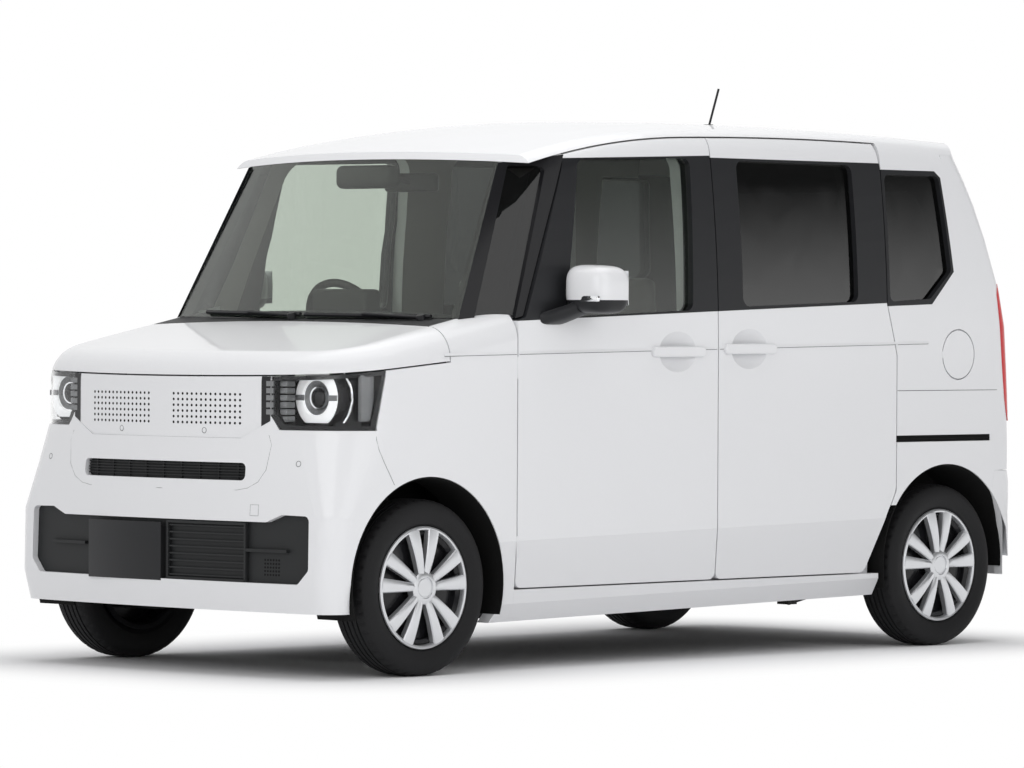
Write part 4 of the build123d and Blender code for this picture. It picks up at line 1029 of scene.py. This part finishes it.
def screenX(y, z):
    reach = screen["planR"] - (z - screen["baseZ"]) * screen["lean"]
    return screen["baseX"] - screen["planR"] + math.sqrt(reach ** 2 - y ** 2)


wiper = {
    "blades": (((-470, 1137), (20, 1131)), ((40, 1131), (556, 1126))),
    "stand": 9,
    "section": ((-8, -5), (1, -6), (5, 0), (1, 7), (-8, 5)),
    "pivotIn": 30,
    "armR": 5.5,
    "cap": ((0, 14), (13, 12), (15, 6), (15, -16)),
}


def makeWipers():
    stand, inset = wiper["stand"], wiper["pivotIn"]
    bm = bmesh.new()
    for (fromY, fromZ), (toY, toZ) in wiper["blades"]:
        rings = []
        for k in range(13):
            y = fromY + (toY - fromY) * k / 12
            z = fromZ + (toZ - fromZ) * k / 12
            x = screenX(y, z) + stand
            rings.append([(x + ahead, y, z + up) for ahead, up in wiper["section"]])
        addLoft(bm, rings)
        arm = []
        for k in range(7):
            y = toY - inset + (fromY + (toY - fromY) * 0.5 - toY + inset) * k / 6
            z = toZ - 6 + 10 * k / 6
            arm.append((screenX(y, z) + stand + 9, y, z + 4))
        addTube(bm, arm, wiper["armR"])
        y = toY - inset
        addLathe(bm, wiper["cap"], (screenX(y, toZ) + 16, y, toZ - 6), (0.3, 0, 1), 24)
    addPiece("wipers", bm, "satin")


noseMarks = {
    "seam": ((756, 454), (726, 467), (648, 455), (610, 426), (590, 385), (583, 340), (582, 0)),  # z, y
    "split": ((1457, 729.6, 772), (1458.6, 733.9, 744), (1450.7, 737, 713), (1429, 737.6, 675),
              (1407, 737.6, 641), (1383, 737.6, 603)),
    "seamR": 0.9,
    "tow": (418, 522, 17),
    "towR": 0.7,
    "sensors": ((1682.4, 192, 767, 0.077, 0.05), (1642.2, 577, 669, 0.2, 0.177)),  # place, then the lean
    "sensorRing": ((7.8, -1), (7.8, 0.5), (9.6, 0.5), (9.6, -3)),
    "sensorFace": ((0, 0.8), (6.8, 0.8), (7.4, 0.2), (7.4, -3)),
    "dotsFrom": (446, 322),
    "dotsStep": 11.5,
    "dots": (6, 5),
    "dot": ((0, 0.5), (3.4, 0.5), (3.8, -2)),
    "dotLean": 0.08,
    "holes": {"columns": 15, "rows": 6, "firstY": 58, "pitchY": 20, "lowZ": 791, "pitchZ": 18,
              "noseX": 1690, "planR": 2420, "plug": ((0, 0.3), (4.4, 0.3), (4.8, -2))},
}


def addSensors(bm, profile):
    for x, y, z, out, up in noseMarks["sensors"]:
        for side in (1, -1):
            addLathe(bm, profile, (x, y * side, z), Vector((1, side * out, up)), 28)


def makeNoseMarks():
    bm = bmesh.new()
    line = [(bumperX(y, z) - 0.2, y, z) for z, y in noseMarks["seam"]]
    addTube(bm, line + [(x, -y, z) for x, y, z in line[-2::-1]], noseMarks["seamR"], 6)
    for side in (1, -1):
        addTube(bm, [(x, y * side, z) for x, y, z in noseMarks["split"]], noseMarks["seamR"], 6)
    y, z, half = noseMarks["tow"]
    square = [(y - half, z - half), (y + half, z - half), (y + half, z + half), (y - half, z + half)]
    corners = [(bumperX(b, c), b, c) for b, c in square]
    for near, far in zip(corners, corners[1:] + corners[:1]):
        addTube(bm, [near, far], noseMarks["towR"], 6)
    addPiece("nose_seams", bm, "lampGrey")
    bm = bmesh.new()
    addSensors(bm, noseMarks["sensorRing"])
    mark(bm)
    addSensors(bm, noseMarks["sensorFace"])
    tint(bm, 1)
    addPiece("nose_sensors", bm, ["lampGrey", "paint"])
    bm = bmesh.new()
    (fromY, fromZ), step, lean = noseMarks["dotsFrom"], noseMarks["dotsStep"], noseMarks["dotLean"]
    for k in range(noseMarks["dots"][0]):
        for n in range(noseMarks["dots"][1]):
            y, z = fromY + step * k, fromZ + step * n
            x = 1658 - (y - 441) * lean + (375 - z) * 0.011
            addLathe(bm, noseMarks["dot"], (x, y, z), (1, lean, 0), 8)
    holes = noseMarks["holes"]
    for k in range(holes["columns"]):
        for n in range(holes["rows"]):
            y, z = holes["firstY"] + holes["pitchY"] * k, holes["lowZ"] + holes["pitchZ"] * n
            x = holes["noseX"] - holes["planR"] + math.sqrt(holes["planR"] ** 2 - y ** 2)
            for side in (1, -1):
                addLathe(bm, holes["plug"], (x, y * side, z), (1, side * y / holes["planR"], 0), 8)
    addPiece("grille_dots", bm, "deep")


bodyLine = {
    "nodes": (("fender", 838, 1165), ("front_door", -115, 826), ("sliding_door", -1029, -128),
              ("quarter_panel", -1200, -1036)),
    "height": 1022,
    "slope": -0.016,
    "section": ((737.2, 9), (739.6, 0), (737.2, -2.6)),  # y, then height from the line
    "cups": ("front_door_handle_left", "sliding_door_handles"),
    "cupHalf": 118,
    "shortest": 4,
}

def makeBodyLines():
    gaps = []
    for node in bodyLine["cups"]:
        low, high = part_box(node)
        middle = (low[0] + high[0]) * 500
        gaps.append((middle - bodyLine["cupHalf"], middle + bodyLine["cupHalf"]))
    for side, word in sides:
        for node, fromX, toX in bodyLine["nodes"]:
            runs = [(fromX, toX)]
            for low, high in gaps:
                parts = [part for a, b in runs for part in ((a, min(b, low)), (max(a, high), b))]
                runs = [part for part in parts if part[1] - part[0] > bodyLine["shortest"]]
            bm = bmesh.new()
            for run in runs:
                rings = []
                for x in run:
                    z = bodyLine["height"] + bodyLine["slope"] * x
                    rings.append([(x, y * side, z + up) for y, up in bodyLine["section"]])
                addLoft(bm, rings)
            body = "front_door_" + word if node == "front_door" else "body"
            # the ridge's steep downward faces take the grey finish: painted shade along the underside of the
            # body line
            bm.normal_update()
            for face in bm.faces:
                face.material_index = int(abs(face.normal.z) > 0.5)
            addPiece(f"{node}_line_{word}", bm, ["paint", "lampGrey"], body, 10)


cushion = {
    "voxel": 0.010,
    "pressure": 4,
    "frames": 20,
    "cap": 0.014,
    "soft": 26,
    "channelDeep": 0.007,
    "channelWide": 0.010,
    # side outline, then the left pad's width
    "shapes": {
        "seat_base": (((48, 428), (44, 494), (372, 530), (402, 492), (396, 428)), (100, 550)),
        "seat_back": (((28, 530), (-62, 1070), (-112, 1070), (-64, 530)), (100, 550)),
        "seat_head": (((-88, 1112), (-84, 1258), (-148, 1258), (-160, 1112)), (208, 442)),
        "bench_base": (((-632, 428), (-634, 494), (-328, 530), (-298, 490), (-306, 428)), (10, 572)),
        "bench_back": (((-652, 530), (-738, 1060), (-786, 1060), (-742, 530)), (10, 572)),
        "bench_head": (((-758, 1102), (-752, 1238), (-818, 1238), (-832, 1102)), (178, 402)),
    },
    "channels": {"seat_base": (185, 465), "seat_back": (185, 465), "bench_base": (120, 290, 460),
                 "bench_back": (120, 290, 460)},
    # base and back of the frame under the pads
    "supports": {
        "seat": (((-34, 244), (352, 244), (396, 424), (-30, 424)),
                 ((-58, 436), (-112, 1078), (-158, 1078), (-88, 430))),
        "bench": (((-688, 244), (-336, 244), (-306, 424), (-650, 424)),
                  ((-735, 436), (-788, 1070), (-828, 1070), (-726, 430))),
    },
    "replaces": {"seat_base": "front_seats", "bench_base": "rear_bench"},
    "postStep": 45,
    "postR": 6,
}


def addPrism(bm, outline, fromY, toY, soft):
    start = [bm.verts.new(mm(x, fromY, z)) for x, z in outline]
    cap = bm.faces.new(start)
    grown = bmesh.ops.extrude_face_region(bm, geom=[cap])["geom"]
    moved = [item for item in grown if isinstance(item, bmesh.types.BMVert)]
    bmesh.ops.translate(bm, vec=mm(0, toY - fromY, 0), verts=moved)
    roundEdges(bm, start + moved, soft, 4)
    bmesh.ops.recalc_face_normals(bm, faces=bm.faces[:])


def readMesh(obj):
    live = obj.evaluated_get(bpy.context.evaluated_depsgraph_get())
    return bpy.data.meshes.new_from_object(live)


def swell(name, bm):
    obj = placeMesh(name, bm)
    remesh = obj.modifiers.new("remesh", "REMESH")
    remesh.mode = "VOXEL"
    remesh.voxel_size = cushion["voxel"]
    obj.data = readMesh(obj)
    obj.modifiers.clear()
    start = [vert.co.copy() for vert in obj.data.vertices]
    cloth = obj.modifiers.new("cloth", "CLOTH")
    cloth.settings.use_pressure = True
    cloth.settings.uniform_pressure_force = cushion["pressure"]
    cloth.settings.effector_weights.gravity = 0
    cloth.settings.quality = 4
    cloth.point_cache.frame_end = cushion["frames"]
    for step in range(1, cushion["frames"] + 1):
        scene.frame_set(step)
    puffed = readMesh(obj)
    obj.modifiers.clear()
    for vert, was, now in zip(obj.data.vertices, start, puffed.vertices):
        move = now.co - was
        if move.length > cushion["cap"]:
            move *= cushion["cap"] / move.length
        vert.co = was + move
    scene.frame_set(1)
    done = obj.data
    bpy.data.objects.remove(obj)
    return done


def sew(mesh, lines):
    for vert in mesh.vertices:
        for y in lines:
            near = (vert.co.y - y / 1000) / cushion["channelWide"]
            vert.co -= vert.normal * (cushion["channelDeep"] * math.exp(-near * near))


def makeSeats():
    for name, (outline, (fromY, toY)) in cushion["shapes"].items():
        bm = bmesh.new()
        addPrism(bm, outline, fromY, toY, cushion["soft"])
        mesh = swell(name + "_start", bm)
        sew(mesh, cushion["channels"].get(name, ()))
        for side, word in sides:
            bm = bmesh.new()
            bm.from_mesh(mesh)
            bmesh.ops.smooth_vert(bm, verts=bm.verts[:], factor=0.5, use_axis_x=True, use_axis_y=True,
                                  use_axis_z=True)
            toSide(bm, side)
            pad = addPiece(f"{name}_{word}", bm, "cloth", "body", 80)
            if side == 1 and name in cushion["replaces"]:
                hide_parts(cushion["replaces"][name])
        print("cushion made:", name, len(mesh.polygons))
    for place, (base, back) in cushion["supports"].items():
        fromY, toY = cushion["shapes"][place + "_base"][1]
        headY = sum(cushion["shapes"][place + "_head"][1]) / 2
        headX = (back[1][0] + back[2][0]) / 2 + 4
        top = back[1][1]
        for side, word in sides:
            bm = bmesh.new()
            addPrism(bm, base, fromY + 12, toY - 12, 8)
            addPrism(bm, back, fromY + 6, toY - 6, 12)
            for y in (headY - cushion["postStep"], headY + cushion["postStep"]):
                addTube(bm, [(headX, y, top - 20), (headX + 2, y, top + 70)], cushion["postR"])
            toSide(bm, side)
            addPiece(f"{place}_frame_{word}", bm, "cabin")


cabin = {
    "mirror": (573, 0, 1566),
    "mirrorHalf": (16, 118, 31),
    "stalkTop": (760, 0, 1592),
    "stalkR": 9,
    "sensor": ((742, -125, 1542), (810, 125, 1618)),
    "meter": ((640, -330, 1040), (716, -70, 1214)),
}


def makeCabin():
    (x, y, z), (dx, dy, dz) = cabin["mirror"], cabin["mirrorHalf"]
    bm = bmesh.new()
    addBox(bm, (x - dx, y - dy, z - dz), (x + dx, y + dy, z + dz), 14, 5)
    addTube(bm, [(x + 8, 0, z), (x + 70, 0, z + 16), cabin["stalkTop"]], cabin["stalkR"])
    addBox(bm, *cabin["sensor"], 22, 5)
    addBox(bm, *cabin["meter"], 16, 4)
    mark(bm)
    addBox(bm, (x - dx - 1, y - dy + 8, z - dz + 6), (x - dx + 1, y + dy - 8, z + dz - 6), 0.8)
    tint(bm, 1)
    addPiece("cabin_mirror", bm, ["cabin", "chrome"])


makeCamera()
makeWorld()
makeFloor()
dressNodes()
print("studio and nodes dressed")
makeBands()
makeTrims()
print("bands and trims made")
makeWheels()
makeTyres()
print("wheels and tyres made")
makeGrilles()
makeHeadlamps()
makeNoseMarks()
makeWipers()
print("front made")
makeMirrors()
makeRearSides()
makeRearCorners()
makeLiners()
makeBodyLines()
print("sides made")
makeSeats()
makeCabin()
print("cabin made")
